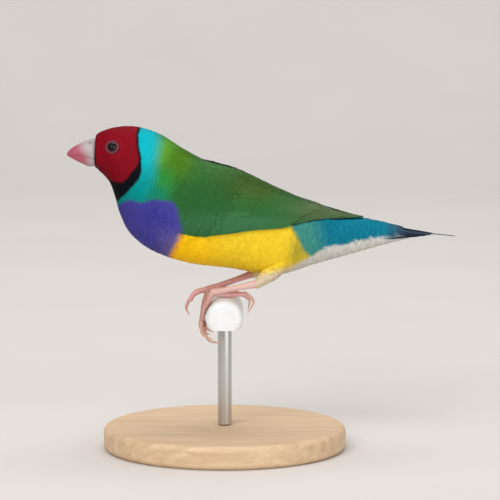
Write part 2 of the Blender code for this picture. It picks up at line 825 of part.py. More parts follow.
def make_stand_rod(scratch):
    """Upright rod from the base to the flat of the perch."""
    low = Vector((PERCH_X * MM, 0, BASE_HEIGHT + GAP))
    high = Vector((PERCH_X * MM, 0, (PERCH_Z - PERCH_FLAT) * MM - GAP))
    return rod("rod_shape", scratch, low, high, ROD_RADIUS, 20)


def make_stand_base(scratch):
    low = Vector((PERCH_X * MM, 0, 0))
    high = Vector((PERCH_X * MM, 0, BASE_HEIGHT))
    base = rod("base_shape", scratch, low, high, BASE_RADIUS, 56)
    bevel = base.modifiers.new("Round edges", "BEVEL")
    bevel.width = BASE_EDGE
    bevel.segments = 2
    bevel.limit_method = "ANGLE"
    bevel.angle_limit = math.radians(60)
    apply_modifiers(base)
    return base


def main():
    clear_scene()
    parts = make_collection("Gouldian finch")
    scratch = make_collection("Working pieces")
    red = make_material("crimson feathers", (0.35, 0.012, 0.02), 0.6)
    cyan = make_material("turquoise feathers", (0.0, 0.42, 0.45), 0.55)
    yellow = make_material("yellow feathers", (0.85, 0.5, 0.02), 0.6)
    blue = make_material("blue feathers", (0.03, 0.2, 0.32), 0.55)
    green = make_material("green feathers", (0.05, 0.18, 0.04), 0.55)
    dark = make_material("dark feathers", (0.02, 0.03, 0.04), 0.55)
    horn = make_material("pale rose bill", (0.75, 0.45, 0.42), 0.4)
    eye = make_material("eye", (0.01, 0.008, 0.006), 0.08)
    skin = make_material("pink leg skin", (0.6, 0.27, 0.22), 0.5)
    cream = make_material("cream feathers", (0.75, 0.62, 0.4), 0.7)
    plastic = make_material("white plastic", (0.85, 0.85, 0.82), 0.35)
    steel = make_material("brushed steel", (0.6, 0.6, 0.6), 0.35, 1.0)
    wood = make_material("beech wood", (0.55, 0.36, 0.2), 0.5)

    finish_node(make_head(scratch), "head", red, parts)
    finish_node(body_piece("n", HEAD_END, NECK_END, scratch), "neck", cyan, parts)
    finish_node(body_piece("t", NECK_END, TORSO_END, scratch), "torso", yellow, parts)
    finish_node(body_piece("r", TORSO_END, RUMP_END, scratch), "rump", blue, parts)
    finish_node(make_bill_upper(scratch), "bill_upper", horn, parts)
    finish_node(make_bill_lower(scratch), "bill_lower", horn, parts)
    for name, side in (("left", 1), ("right", -1)):
        finish_node(make_eye(side, scratch), "eye_" + name, eye, parts)
        finish_node(make_wing(side, scratch), "wing_" + name, green, parts)
        finish_node(make_foot(name, scratch), "foot_" + name, skin, parts)
        finish_node(make_leg(name, scratch), "leg_" + name, skin, parts)
        finish_node(make_thigh(name, scratch), "thigh_" + name, cream, parts)
    finish_node(make_tail(scratch), "tail", dark, parts)
    finish_node(make_perch(scratch), "perch", plastic, parts)
    finish_node(make_stand_rod(scratch), "stand_rod", steel, parts)
    finish_node(make_stand_base(scratch), "stand_base", wood, parts)
    bpy.data.collections.remove(scratch)


main()
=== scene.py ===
"""The looks of a gouldian finch on its perch and stand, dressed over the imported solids."""
import json
import math

import bmesh
import bpy
import numpy as np
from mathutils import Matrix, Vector

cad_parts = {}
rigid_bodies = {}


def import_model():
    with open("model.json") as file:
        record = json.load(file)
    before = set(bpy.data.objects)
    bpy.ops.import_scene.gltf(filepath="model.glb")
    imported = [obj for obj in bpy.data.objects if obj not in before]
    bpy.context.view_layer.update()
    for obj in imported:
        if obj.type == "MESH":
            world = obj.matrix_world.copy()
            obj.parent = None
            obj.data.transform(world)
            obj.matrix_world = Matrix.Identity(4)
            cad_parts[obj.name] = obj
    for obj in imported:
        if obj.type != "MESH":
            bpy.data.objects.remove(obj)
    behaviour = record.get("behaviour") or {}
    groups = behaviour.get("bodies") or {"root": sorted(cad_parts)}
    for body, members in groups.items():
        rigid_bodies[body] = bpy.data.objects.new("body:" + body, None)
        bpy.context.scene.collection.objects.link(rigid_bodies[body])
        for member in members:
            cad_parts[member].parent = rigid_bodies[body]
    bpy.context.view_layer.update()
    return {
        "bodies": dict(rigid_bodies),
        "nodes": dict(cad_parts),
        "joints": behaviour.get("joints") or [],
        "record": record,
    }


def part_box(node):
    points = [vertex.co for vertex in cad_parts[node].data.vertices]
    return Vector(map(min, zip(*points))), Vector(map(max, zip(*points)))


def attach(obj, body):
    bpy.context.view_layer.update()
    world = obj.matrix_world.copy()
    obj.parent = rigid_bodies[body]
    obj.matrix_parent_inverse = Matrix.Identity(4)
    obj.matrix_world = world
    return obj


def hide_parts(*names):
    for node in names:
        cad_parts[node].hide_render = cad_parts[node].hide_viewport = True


MM = 0.001

# The body's stations, in mm, as the solids have them: top x and z, bottom x and z, half width.
STATIONS = (
    (-57.2, 107.8, -57.5, 98.2, 4.3),    # bill base
    (-55.8, 109.8, -56.1, 97.1, 5.2),    # forehead
    (-50.1, 111.7, -52.3, 93.0, 7.3),    # eye
    (-42.9, 111.9, -50.4, 88.0, 8.4),    # hind crown
    (-34.9, 109.4, -48.6, 81.7, 10.6),   # neck
    (-26.6, 104.6, -45.1, 75.1, 13.2),   # shoulders
    (-17.2, 100.2, -37.7, 69.2, 14.5),   # breast
    (-7.0, 97.0, -25.3, 64.9, 14.6),     # mid body
    (3.0, 92.2, -10.4, 63.0, 13.2),      # belly
    (12.7, 87.2, 4.7, 60.6, 10.6),       # legs
    (21.7, 84.0, 18.5, 64.4, 7.4),       # vent
    (30.6, 81.0, 30.2, 67.7, 5.1),       # rump
    (39.6, 79.0, 41.0, 70.8, 3.7),       # tail coverts
    (48.6, 76.8, 49.4, 72.9, 2.4),       # ends of the tail coverts
)
SECTION_POWER = 2.2
# How much lower than the solids' the back lies, in mm, at whole steps of the stations.
BACK_DROP = (0.0, 0.0, 0.0, 0.0, 0.0, 0.4, 0.95, 1.7, 1.7, 0.85, 0.1, -0.4, -0.6, -0.6)
BODY_END = 13.0
BODY_STEP = 0.02

# Depth of the coat and length of its feathers, in mm, at whole steps of the stations.
COAT_DEPTH = (0.35, 0.4, 0.45, 0.55, 0.7, 0.9, 1.05, 1.1, 1.1, 1.0, 0.9, 0.8, 0.7, 0.6)
FEATHER_LENGTH = (0.8, 1.1, 1.5, 2.0, 2.8, 3.7, 4.4, 4.8, 5.0, 5.2, 5.6, 6.0, 6.4, 6.6)
FEATHER_WIDTH = 0.46
ROW_SPACING = 0.2
COLUMN_SPACING = 0.42
# How far the shading of the small feathers follows the surface that they lie on.
SILKINESS = 0.65
VANE_SILKINESS = 0.6

EYE_STATION = 1.97
EYE_ANGLE = math.radians(73)
EYE_RADIUS = 2.15
EYE_SINK = 1.45
# Radius round the eye that the feathers keep off, and the bare ring in it: the radius of its
# middle, half its width and height, and how far it sinks into the coat.
EYE_RING_RADIUS = 2.2
RING_MIDDLE = 1.96
RING_HALF_WIDTH = 0.46
RING_HALF_HEIGHT = 0.28
RING_SINK = 0.22

BILL_TIP_X = -66.85
BILL_BASE_X = -57.85
BILL_MOUTH_Z = 102.1
BILL_UPPER_HEIGHT = 5.8
BILL_LOWER_DEPTH = 3.9
BILL_HALF_WIDTH = 3.9
BILL_GAPE_DROP = 0.9

PERCH_X = -12.65
PERCH_Z = 47.1
PERCH_RADIUS = 6.4
PERCH_FLAT = 3.9
PERCH_HALF_LENGTH = 15.0
BASE_RADIUS = 42.0
BASE_HEIGHT = 8.0

# The folded wing's upper and lower edge, in degrees round the body, at whole steps from WING_START.
WING_START = 5.5
WING_EDGES = ((48, 96), (32, 110), (21, 99), (14, 81), (10, 63), (8, 44), (5, 11))
# Height in mm of the wing's surface over the body's, at places along the stations.
WING_RISE = (
    (4.5, 0.0), (5.6, 1.6), (6.2, 1.95), (6.8, 1.85), (7.3, 1.62), (8.5, 1.5), (9.5, 1.35), (11.0, 0.9),
)
# Share of the way down the wing past which small feathers lie under its lower edge.
WING_LOWER_RIM = 0.97
COVERTS_START = 5.25
COVERTS_END = 6.75
COVERT_SCALE = 0.7
# Places across a vane at which its points lie, closest together at the shaft.
VANE_LANES = (-1, -0.7, -0.4, -0.16, -0.05, 0, 0.05, 0.16, 0.4, 0.7, 1)
VANE_TILT = 0.1
SHAFT_SHIFT = 0.3
MIDLINE_CLEARANCE = 0.25
# Size of one feather's own patch on the flat map of its piece.
BAKE_PATCH = 0.0015

# Distance in mm between the points of the skin under the coat, and how dark the skin is painted beside the
# coat, as painted shade in the gaps between the feathers.
SKIN_VOXEL = 0.42
SKIN_PAINTED_SHADE = 0.6
THIGH_DEPTH = 0.6
THIGH_FEATHERS = 2400

CAMERA_ELEVATION = math.radians(7)
CAMERA_DISTANCE = 1.0
FRAME_WIDTH = 0.1725
CAMERA_TARGET = (-0.00388, 0.0, 0.0692)
SENSOR_WIDTH = 36.0

# The floor in metres: how far it runs to the front, to the back and to each side, the radius of
# its bend and the height of the backdrop.
FLOOR_FRONT = -3.0
FLOOR_BACK = 0.9
FLOOR_HALF_WIDTH = 4.0
FLOOR_BEND = 0.7
BACKDROP_HEIGHT = 3.0


def srgb(red, green, blue):
    """Linear colour of an sRGB one, each of whose three numbers runs to 255."""
    values = np.array((red, green, blue)) / 255
    return np.where(values <= 0.04045, values / 12.92, ((values + 0.055) / 1.055) ** 2.4)


def signed_power(value, power):
    return np.sign(value) * np.abs(value) ** power


def smooth_step(low, high, value):
    share = np.clip((value - low) / (high - low), 0, 1)
    return share * share * (3 - 2 * share)


def unit(vectors):
    return vectors / np.maximum(np.linalg.norm(vectors, axis=-1, keepdims=True), 1e-12)


def smooth_rows(rows, place):
    """The values at places along rows, one row to a whole step, on one smooth curve."""
    rows = np.asarray(rows, float)
    place = np.asarray(place, float)
    i = np.clip(np.floor(place).astype(int), 0, len(rows) - 2)
    f = (place - i)[..., None]
    padded = np.vstack((2 * rows[0] - rows[1], rows, 2 * rows[-1] - rows[-2]))
    a, b, c, d = (padded[i + k] for k in range(4))
    return b + 0.5 * f * (c - a + f * (2 * a - 5 * b + 4 * c - d + f * (3 * b - a - 3 * c + d)))


def along_stations(values, station):
    """A value given at whole stations, read between them."""
    return np.interp(station, np.arange(len(values)), values)


def body_point(station, angle):
    """Point of the body's surface, which is that of the solids with a somewhat lower back.

    Angle 0 is the top line, and a positive one is to the left.
    """
    station = np.clip(station, -0.4, BODY_END + 1.6)
    rows = smooth_rows(STATIONS, station)
    rise = signed_power(np.cos(angle), 2 / SECTION_POWER)
    out = signed_power(np.sin(angle), 2 / SECTION_POWER)
    x = (rows[..., 0] + rows[..., 2]) / 2 + (rows[..., 0] - rows[..., 2]) / 2 * rise
    z = (rows[..., 1] + rows[..., 3]) / 2 + (rows[..., 1] - rows[..., 3]) / 2 * rise
    drop = smooth_rows(np.transpose([BACK_DROP]), station)[..., 0]
    z = z - drop * np.clip(np.cos(angle), 0, 1) ** 2
    return np.stack((x, -np.maximum(rows[..., 4], 0.3) * out, z), -1)


def wing_angle(station, share):
    """Angle round the body at a share of the way from the folded wing's upper to its lower edge."""
    edges = smooth_rows(np.radians(WING_EDGES), station - WING_START)
    return edges[..., 0] + (edges[..., 1] - edges[..., 0]) * share


def wing_surface(side):
    """Surface under the folded wing, by station and share of the way down it."""
    def point(station, share):
        return body_point(station, wing_angle(station, share) * side)
    return point


def surface_frame(shape, s, a, turn=1):
    """Outward normal at places of a surface, and the lengths in mm of one step along and round it."""
    along = shape(s + BODY_STEP, a) - shape(s - BODY_STEP, a)
    around = shape(s, a + BODY_STEP) - shape(s, a - BODY_STEP)
    normal = unit(np.cross(around, along)) * turn
    long = np.linalg.norm(along, axis=-1) / (2 * BODY_STEP)
    wide = np.linalg.norm(around, axis=-1) / (2 * BODY_STEP)
    return normal, long, wide


def lifted(shape, s, a, lift, turn=1):
    """Points at a height in mm over places of a surface."""
    normal, _, _ = surface_frame(shape, s, a, turn)
    return shape(s, a) + normal * lift[..., None]


# Markings are laid out in mm as the bird's left side shows them from a little above: x as in the
# model, and the height that a point of the side has there. The right side mirrors the left.
MASK = (
    (-56.9, 99.6), (-56.4, 97.9), (-53.6, 94.7), (-51.6, 93.1), (-49.4, 92.4), (-47.2, 92.5),
    (-45.7, 93.9), (-44.1, 96.0), (-42.1, 98.3), (-41.7, 100.7), (-42.5, 104.7), (-42.8, 108.7),
    (-42.5, 110.7), (-42.0, 112.0), (-41.8, 116.0), (-56.9, 116.0),
)
BLACK = (
    (-40.9, 112.3), (-41.5, 110.7), (-42.0, 108.7), (-41.7, 104.6), (-40.9, 100.9), (-40.8, 98.4),
    (-40.8, 95.5), (-41.7, 93.6), (-44.1, 90.8), (-46.5, 88.3), (-48.5, 86.6), (-49.2, 86.2),
    (-52.5, 85.6), (-62.0, 95.0), (-62.0, 116.0), (-41.0, 116.0),
)
TURQUOISE = (
    (-35.6, 116.0), (-35.6, 105.9), (-36.2, 102.3), (-36.8, 97.9), (-36.8, 93.9), (-37.4, 89.9),
    (-38.6, 87.4), (-39.6, 86.0), (-41.8, 85.2), (-44.9, 86.2), (-47.3, 85.3), (-48.8, 84.4),
    (-54.0, 83.4), (-62.0, 95.0), (-62.0, 116.0),
)
PURPLE = (
    (-52.0, 83.6), (-48.8, 84.8), (-47.3, 85.6), (-44.9, 86.4), (-41.7, 85.4), (-39.8, 85.4),
    (-37.8, 86.2), (-35.4, 86.4), (-32.2, 86.0), (-29.8, 85.4), (-28.7, 83.6), (-27.9, 80.4),
    (-27.1, 77.6), (-27.1, 76.0), (-28.2, 73.6), (-29.8, 70.4), (-31.4, 67.6), (-32.5, 60.0),
    (-62.0, 60.0), (-62.0, 83.6),
)
# The edge that the yellow belly shares with the blue rump behind it.
YELLOW_END = ((11.4, 75.2), (13.6, 70.3), (16.7, 66.3), (18.0, 55.0))
YELLOW = (
    (-36.0, 75.2), (-24.0, 74.8), (-10.0, 75.6), (0.0, 78.0), (8.0, 81.0), *YELLOW_END, (-36.0, 55.0),
)
REAR = (
    (27.0, 95.0), (25.0, 84.5), (13.0, 80.6), (9.0, 80.4), *YELLOW_END, (80.0, 55.0), (80.0, 95.0),
)
WHITE = (
    (-3.5, 60.0), (-1.5, 60.4), (4.0, 61.6), (9.9, 63.0), (13.5, 64.9), (17.4, 67.2), (20.3, 69.2),
    (24.7, 70.9), (27.7, 70.9), (34.8, 72.7), (42.7, 73.8), (48.5, 74.1), (54.0, 74.3), (54.0, 55.0),
    (-3.5, 50.0),
)

RED_HIGH = srgb(138, 8, 27)
RED_LOW = srgb(131, 12, 28)
BLACK_COLOUR = srgb(10, 13, 19)
TURQUOISE_HIGH = srgb(4, 180, 192)
TURQUOISE_LOW = srgb(0, 144, 142)
PURPLE_DEEP = srgb(58, 57, 142)
PURPLE_PLAIN = srgb(72, 68, 153)
PURPLE_PALE = srgb(109, 96, 154)
YELLOW_COLOUR = srgb(241, 206, 45)
YELLOW_DEEP = srgb(255, 206, 16)
ORANGE = srgb(236, 146, 44)
YELLOW_OLIVE = srgb(178, 164, 52)
TEAL = srgb(63, 140, 129)
RUMP_BLUE = srgb(11, 117, 140)
TAIL_DARK = srgb(56, 68, 90)
WHITE_COLOUR = srgb(204, 202, 196)
CREAM = srgb(221, 205, 174)
WING_GREEN = srgb(41, 97, 45)
FLIGHT_BROWN = srgb(74, 74, 62)
FLIGHT_END = srgb(28, 30, 30)

# Soft patches of the green upper side: centre, reach and colour.
GREEN_PATCHES = (
    ((-33.0, 103.0), (5.0, 6.5), srgb(94, 158, 52)),
    ((-27.5, 99.5), (5.0, 5.5), srgb(73, 119, 9)),
    ((-34.0, 92.5), (4.0, 5.0), srgb(44, 138, 48)),
    ((-35.0, 88.0), (3.5, 3.0), srgb(24, 128, 92)),
    ((-14.0, 97.0), (10.0, 4.0), srgb(62, 110, 54)),
    ((-2.0, 91.0), (11.0, 5.0), srgb(62, 90, 36)),
    ((-12.0, 78.5), (22.0, 3.6), srgb(55, 106, 66)),
    ((22.0, 83.0), (12.0, 5.0), srgb(77, 98, 62)),
)


def signed_distance(outline, x, h):
    """Distance to the edge of a closed outline, positive inside."""
    corners = np.array(outline)
    nearest = np.full(x.shape, 1e9)
    inside = np.zeros(x.shape, bool)
    for (ax, ah), (bx, bh) in zip(corners, np.roll(corners, -1, axis=0)):
        span = (bx - ax) ** 2 + (bh - ah) ** 2
        t = np.clip(((x - ax) * (bx - ax) + (h - ah) * (bh - ah)) / span, 0, 1)
        nearest = np.minimum(nearest, np.hypot(x - ax - t * (bx - ax), h - ah - t * (bh - ah)))
        if ah != bh:
            crosses = (ah > h) != (bh > h)
            inside ^= crosses & (x < ax + (h - ah) * (bx - ax) / (bh - ah))
    return np.where(inside, nearest, -nearest)


def patch_share(outline, x, h, low, high, softness=1):
    """How much of a marking shows: none at a distance of low from its edge and all of it at high."""
    return smooth_step(low, high, signed_distance(outline, x, h) / softness)


def mix(under, over, share):
    return under + (over - under) * np.asarray(share)[..., None]


def side_plan(points):
    """Where points in mm fall on the plan of the markings."""
    return points[..., 0], points[..., 2] - math.tan(CAMERA_ELEVATION) * np.abs(points[..., 1])


def green_colour(x, h):
    colour = np.broadcast_to(WING_GREEN, (*x.shape, 3)).copy()
    for (cx, ch), (rx, rh), patch in GREEN_PATCHES:
        share = np.exp(-(((x - cx) / rx) ** 2 + ((h - ch) / rh) ** 2))
        colour = mix(colour, patch, np.clip(share * 1.25, 0, 1))
    return colour


def rear_colour(x, h):
    colour = mix(TEAL, RUMP_BLUE, smooth_step(16.5, 24.5, x + 0.25 * (h - 72)))
    return mix(colour, TAIL_DARK, smooth_step(41, 50, x))


def collar_share(x, h):
    return patch_share(TURQUOISE, x, h, -3.6, 2.4)


def collar_colour(h):
    return mix(TURQUOISE_LOW, TURQUOISE_HIGH, smooth_step(90, 101, h))


def breast_share(x, h):
    return patch_share(PURPLE, x, h, -0.45, 0.35, 1 + 1.6 * smooth_step(-38, -29, x))


def breast_colour(x, h):
    deep = np.exp(-(((x + 36) / 6) ** 2 + ((h - 81) / 4.5) ** 2))
    pale = smooth_step(-38, -29, x) * smooth_step(79, 70, h)
    return mix(mix(PURPLE_PLAIN, PURPLE_DEEP, deep), PURPLE_PALE, pale)


def body_colour(points):
    """Colour of the plumage at points of the body in mm."""
    x, h = side_plan(points)
    colour = mix(green_colour(x, h), rear_colour(x, h), patch_share(REAR, x, h, -0.6, 0.6))
    yellow = patch_share(YELLOW, x, h, -0.5, 0.5, 1 + 0.8 * smooth_step(6, 11, x))
    olive = np.exp(-(((x - 12.5) / 3.0) ** 2 + ((h - 68.5) / 5.5) ** 2))
    belly = mix(mix(YELLOW_COLOUR, YELLOW_OLIVE, olive), YELLOW_DEEP, smooth_step(-8, -28, x))
    colour = mix(colour, belly, yellow)
    white = patch_share(WHITE, x, h, -0.7, 0.7, 1 + 1.3 * smooth_step(16, 9, x))
    colour = mix(colour, mix(CREAM, WHITE_COLOUR, smooth_step(2, 14, x)), white)
    edge = np.exp(-((signed_distance(PURPLE, x, h) + 0.7) / 0.8) ** 2) * yellow
    colour = mix(colour, ORANGE, edge * 0.7)
    colour = mix(colour, collar_colour(h), collar_share(x, h))
    colour = mix(colour, breast_colour(x, h), breast_share(x, h))
    colour = mix(colour, BLACK_COLOUR, patch_share(BLACK, x, h, -0.3, 0.25))
    mask = mix(RED_LOW, RED_HIGH, smooth_step(94, 108, h))
    return mix(colour, mask, patch_share(MASK, x, h, -0.2, 0.25))


def new_mesh(name, points, triangles):
    """Mesh of triangles from points in mm."""
    mesh = bpy.data.meshes.new(name)
    mesh.vertices.add(len(points))
    mesh.vertices.foreach_set("co", (points * MM).astype(np.float32).ravel())
    mesh.loops.add(triangles.size)
    mesh.loops.foreach_set("vertex_index", triangles.astype(np.int32).ravel())
    mesh.polygons.add(len(triangles))
    mesh.polygons.foreach_set("loop_start", np.arange(0, triangles.size, 3, dtype=np.int32))
    mesh.polygons.foreach_set("loop_total", np.full(len(triangles), 3, dtype=np.int32))
    mesh.polygons.foreach_set("use_smooth", np.ones(len(triangles), dtype=bool))
    mesh.update(calc_edges=True)
    return mesh


def mesh_points(mesh):
    """Points of a mesh in mm."""
    points = np.empty(len(mesh.vertices) * 3, np.float32)
    mesh.vertices.foreach_get("co", points)
    return points.reshape(-1, 3) / MM


def faced(points, triangles, outward):
    """Triangles wound so that their fronts look outwards."""
    a, b, c = (points[triangles[:, k]] for k in range(3))
    front = np.sum(np.cross(b - a, c - a) * outward[triangles[:, 0]], axis=1) >= 0
    return np.where(front[:, None], triangles, triangles[:, ::-1])


def soften(mesh, normals, share):
    """Turn a mesh's shading normals towards given ones by a share."""
    own = np.empty(len(mesh.vertices) * 3, np.float32)
    mesh.vertex_normals.foreach_get("vector", own)
    own = own.reshape(-1, 3)
    mesh.normals_split_custom_set_from_vertices(unit(own + (normals - own) * share).astype(np.float32))


def paint(mesh, colours):
    """Store one colour for each point of a mesh, its markings with any painted shade, which its material
    reads.
    """
    layer = mesh.color_attributes.new("MarkingAndShade", "FLOAT_COLOR", "POINT")
    rgba = np.ones((len(colours), 4), np.float32)
    rgba[:, :3] = np.clip(colours, 0, 1)
    layer.data.foreach_set("color", rgba.ravel())


def add_uv(mesh, name, places, triangles):
    layer = mesh.uv_layers.new(name=name)
    layer.data.foreach_set("uv", places[triangles.ravel()].astype(np.float32).ravel())


def map_feathers(mesh, colours, places, vanes, triangles):
    """Give a mesh of feathers its markings with any painted shade, its flat map and the map of each of its
    vanes.
    """
    paint(mesh, colours)
    add_uv(mesh, "OFBake", places, triangles)
    add_uv(mesh, "Vane", vanes, triangles)


def new_object(name, data):
    item = bpy.data.objects.new(name, data)
    bpy.context.scene.collection.objects.link(item)
    return item


def add_piece(name, mesh, material, replaced=()):
    """Put a piece of the object in the scene, riding on its one body."""
    item = new_object(name, mesh)
    mesh.materials.append(material)
    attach(item, "root")
    if replaced:
        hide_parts(*replaced)


def grid_triangles(rows, columns, wrap=False):
    """Triangles of a grid of points kept row after row, closed round its columns on request."""
    i, j = np.meshgrid(np.arange(rows - 1), np.arange(columns if wrap else columns - 1), indexing="ij")
    k = (j + 1) % columns
    a, b, c, d = (i * columns + j, i * columns + k, (i + 1) * columns + k, (i + 1) * columns + j)
    return np.concatenate((np.stack((a, b, c), -1).reshape(-1, 3), np.stack((a, c, d), -1).reshape(-1, 3)))


def vane_profile(along, base, fullest):
    """Half width of a feather at shares of its length."""
    rising = base + (1 - base) * np.sin(math.pi / 2 * np.clip(along / fullest, 0, 1))
    falling = np.sqrt(np.clip(1 - (np.clip(along - fullest, 0, None) / (1.04 - fullest)) ** 2, 0, 1))
    return rising * falling


def feather_template(rows, columns, side_barbs, end_barbs):
    """Points of one feather, as shares across and along it, its triangles and which points are loose.

    A leaf takes up the inner part, and single barbs stand out round its outer end.
    """
    end = 0.82
    along = np.linspace(0, end, rows)
    width = vane_profile(along, 0.3, 0.5)
    across = np.linspace(-1, 1, columns)
    leaf = np.stack((across[None] * width[:, None], np.broadcast_to(along[:, None], (rows, columns))), -1)
    leaf = leaf.reshape(-1, 2)
    barbs = []
    starts = np.linspace(0.28, end, side_barbs + 1)
    rim = np.interp(starts, along, width)
    for side in (1, -1):
        for k in range(side_barbs):
            tip_along = starts[k + 1] + 0.13
            reach = vane_profile(tip_along, 0.3, 0.5) * 1.02 + 0.1
            outer = (side * reach, tip_along)
            barbs.append(((side * rim[k], starts[k]), (side * rim[k + 1], starts[k + 1]), outer))
    rim = np.linspace(-width[-1], width[-1], end_barbs + 1)
    for k in range(end_barbs):
        centre = (rim[k] + rim[k + 1]) / 2
        tip = end + (1 - end) * math.sqrt(max(0.0, 1 - 0.75 * centre ** 2))
        barbs.append(((rim[k], end), (rim[k + 1], end), (centre * 1.08, tip)))
    points = np.concatenate((leaf, np.array(barbs).reshape(-1, 2)))
    triangles = grid_triangles(rows, columns)
    fringe = len(leaf) + np.arange(3 * len(barbs)).reshape(-1, 3)
    loose = np.zeros(len(points))
    loose[len(leaf) + 2::3] = 1
    return points, np.concatenate((triangles, fringe)), loose


def scatter_rows(shape, first, last, start, stop, random, scale=1.0):
    """Places in staggered rows over a surface, a feather's spacing apart."""
    found = []
    s = first
    row = 0
    fine = np.linspace(start, stop, 181)
    while s < last:
        length = along_stations(FEATHER_LENGTH, s) * scale
        _, long, wide = surface_frame(shape, np.full(fine.shape, s), fine)
        run = np.concatenate(((0,), np.cumsum((wide[1:] + wide[:-1]) / 2 * np.diff(fine))))
        count = max(3, round(run[-1] / (length * FEATHER_WIDTH * COLUMN_SPACING)))
        share = (np.arange(count) + 0.5 * (row % 2) + random.uniform(-0.25, 0.25, count)) / count
        angle = np.interp(np.mod(share, 1) * run[-1], run, fine)
        shift = random.uniform(-0.3, 0.3, count) * length * ROW_SPACING / long.max()
        found.append(np.stack((s + shift, angle), -1))
        s += length * ROW_SPACING / long.max()
        row += 1
    return np.concatenate(found)


def coat_mesh(
    name, shape, places, sizes, lifts, template, colour, unwrap, random,
    turn=1, flow=None, loose_lift=0.004,
):
    """Mesh of one feather at each place, laid along the surface, with its markings, painted shade towards
    each root, and maps.

    sizes are the feathers' lengths and widths, and lifts the heights of their roots and tips.
    """
    points, triangles, loose = template
    across = points[:, 0][None]
    along = points[:, 1][None]
    s = places[:, 0][:, None]
    a = places[:, 1][:, None]
    count = len(places)
    length = sizes[0][:, None] * random.uniform(0.88, 1.12, (count, 1))
    width = sizes[1][:, None] * random.uniform(0.85, 1.15, (count, 1))
    turned = random.normal(0, 0.05, (count, 1))
    if flow is not None:
        turned = turned + flow[:, None]
    _, long, wide = surface_frame(shape, s, a)
    ragged = along + loose[None] * random.uniform(-0.05, 0.035, (count, len(loose)))
    x = across * width / 2 * (1 + loose[None] * random.uniform(-0.12, 0.1, (count, len(loose))))
    y = ragged * length
    bend = random.normal(0, 0.05, (count, 1))
    x = x + bend * y * ragged
    place_s = s + (y * np.cos(turned) - x * np.sin(turned)) / long
    place_a = a + (y * np.sin(turned) + x * np.cos(turned)) / wide
    root_lift, tip_lift = lifts[0][:, None], lifts[1][:, None]
    rise = root_lift + (tip_lift - root_lift) * ragged ** 0.9
    rise = rise + random.normal(0, loose_lift, (count, 1)) * length * ragged
    rise = rise + width * (0.05 * (1 - across ** 2) + random.normal(0, 0.01, (count, 1)) * across)
    upward, _, _ = surface_frame(shape, place_s, place_a, turn)
    solid = shape(place_s, place_a) + upward * rise[..., None]
    ground = shape(place_s, place_a) + random.normal(0, 0.035, (count, 1, 3)) * length[..., None]
    # Painted shade: each feather darker towards its root, which the feathers over it shade; each also a
    # little lighter or darker at random.
    root_shade_and_tone = 0.86 + 0.14 * smooth_step(0.15, 0.7, ragged)
    root_shade_and_tone = root_shade_and_tone * random.normal(1, 0.022, (count, 1))
    tint = colour(ground) * root_shade_and_tone[..., None]
    flat = solid.reshape(-1, 3)
    faces = (triangles[None] + (np.arange(count) * len(points))[:, None, None]).reshape(-1, 3)
    outward = upward.reshape(-1, 3)
    faces = faced(flat, faces, outward)
    mesh = new_mesh(name, flat, faces)
    soften(mesh, outward, SILKINESS)
    patch = np.stack((np.broadcast_to(across, solid.shape[:2]), ragged - 0.5), -1) * BAKE_PATCH
    vane = np.stack(np.broadcast_arrays(across, along, s)[:2], -1)
    map_feathers(mesh, tint.reshape(-1, 3), (unwrap(s, a) + patch).reshape(-1, 2), vane.reshape(-1, 2), faces)
    return mesh


def body_unwrap(s, a):
    """Place of the body's skin on its flat unwrap."""
    along = 0.02 + 0.94 * s / (BODY_END + 1)
    return np.stack(np.broadcast_arrays(along, 0.5 + a / (2 * math.pi) * 0.94), -1)


def eye_places():
    """Centre point on the surface and normal of the left and the right eye."""
    found = []
    for side in (1, -1):
        s = np.array(EYE_STATION)
        a = np.array(EYE_ANGLE * side)
        normal, _, _ = surface_frame(body_point, s, a)
        found.append((body_point(s, a), normal))
    return found


def wing_share(s, a):
    """Share of the way down the folded wing at places round the body, past 0 and 1 off its edges."""
    station = np.clip(s, WING_START, 11.4)
    top = wing_angle(station, np.zeros_like(station))
    low = wing_angle(station, np.ones_like(station))
    return (np.abs(a) - top) / (low - top)


def wing_rise(s, a, over):
    """How far in mm the plumage stands out over the folded wing and where it runs on to it.

    over says which feathers lie over the wing or between the two, and not under its lower edge.
    """
    share = wing_share(s, a)
    height = np.interp(s, *np.transpose(WING_RISE))
    upper = smooth_step(-0.6, -0.06, share) * smooth_step(10.8, 9.4, s)
    lower = smooth_step(1.45, 0.9, share) * smooth_step(7.0, 6.6, s)
    return height * upper * np.where(over, 1, lower)


def eye_flow(places, length):
    """Turn of feathers that part round the eyes, and which ones keep off the bare rings."""
    s, a = places.T
    root = body_point(s, a)
    flow = np.zeros(len(places))
    keep = np.ones(len(places), bool)
    for centre, _ in eye_places():
        away = np.linalg.norm(root - centre, axis=1)
        keep &= away > EYE_RING_RADIUS + 0.1
        same = root[:, 1] * centre[1] > 0
        side = np.sign(np.abs(a) - EYE_ANGLE) * np.sign(a)
        before = smooth_step(1.2, -0.3, s - EYE_STATION)
        flow += np.where(same, side * 0.95 * before * np.exp(-((away - EYE_RING_RADIUS) / 0.9) ** 2), 0)
        tip = body_point(s + length / 4.5 * np.cos(flow), a + length / 7 * np.sin(flow))
        keep &= np.linalg.norm(tip - centre, axis=1) > EYE_RING_RADIUS - 0.25
    return flow, keep


def wing_flow(places):
    """Turn of feathers that run along the folded wing."""
    s, a = places.T
    station = np.clip(s, WING_START, 11.0)
    share = np.clip(wing_share(s, a), 0, 1)
    _, long, wide = surface_frame(body_point, s, a)
    ahead = wing_angle(station + 0.3, share) - wing_angle(station, share)
    turned = np.arctan2(ahead * wide, 0.3 * long) * smooth_step(5.0, 6.2, s)
    return np.clip(turned, -0.6, 0.6) * np.sign(a)


def covert_colour(points):
    """Colour of the small feathers over the front of the wing, which the breast's run on to."""
    x, h = side_plan(points)
    colour = mix(green_colour(x, h), collar_colour(h), collar_share(x, h))
    return mix(colour, breast_colour(x, h), breast_share(x, h))


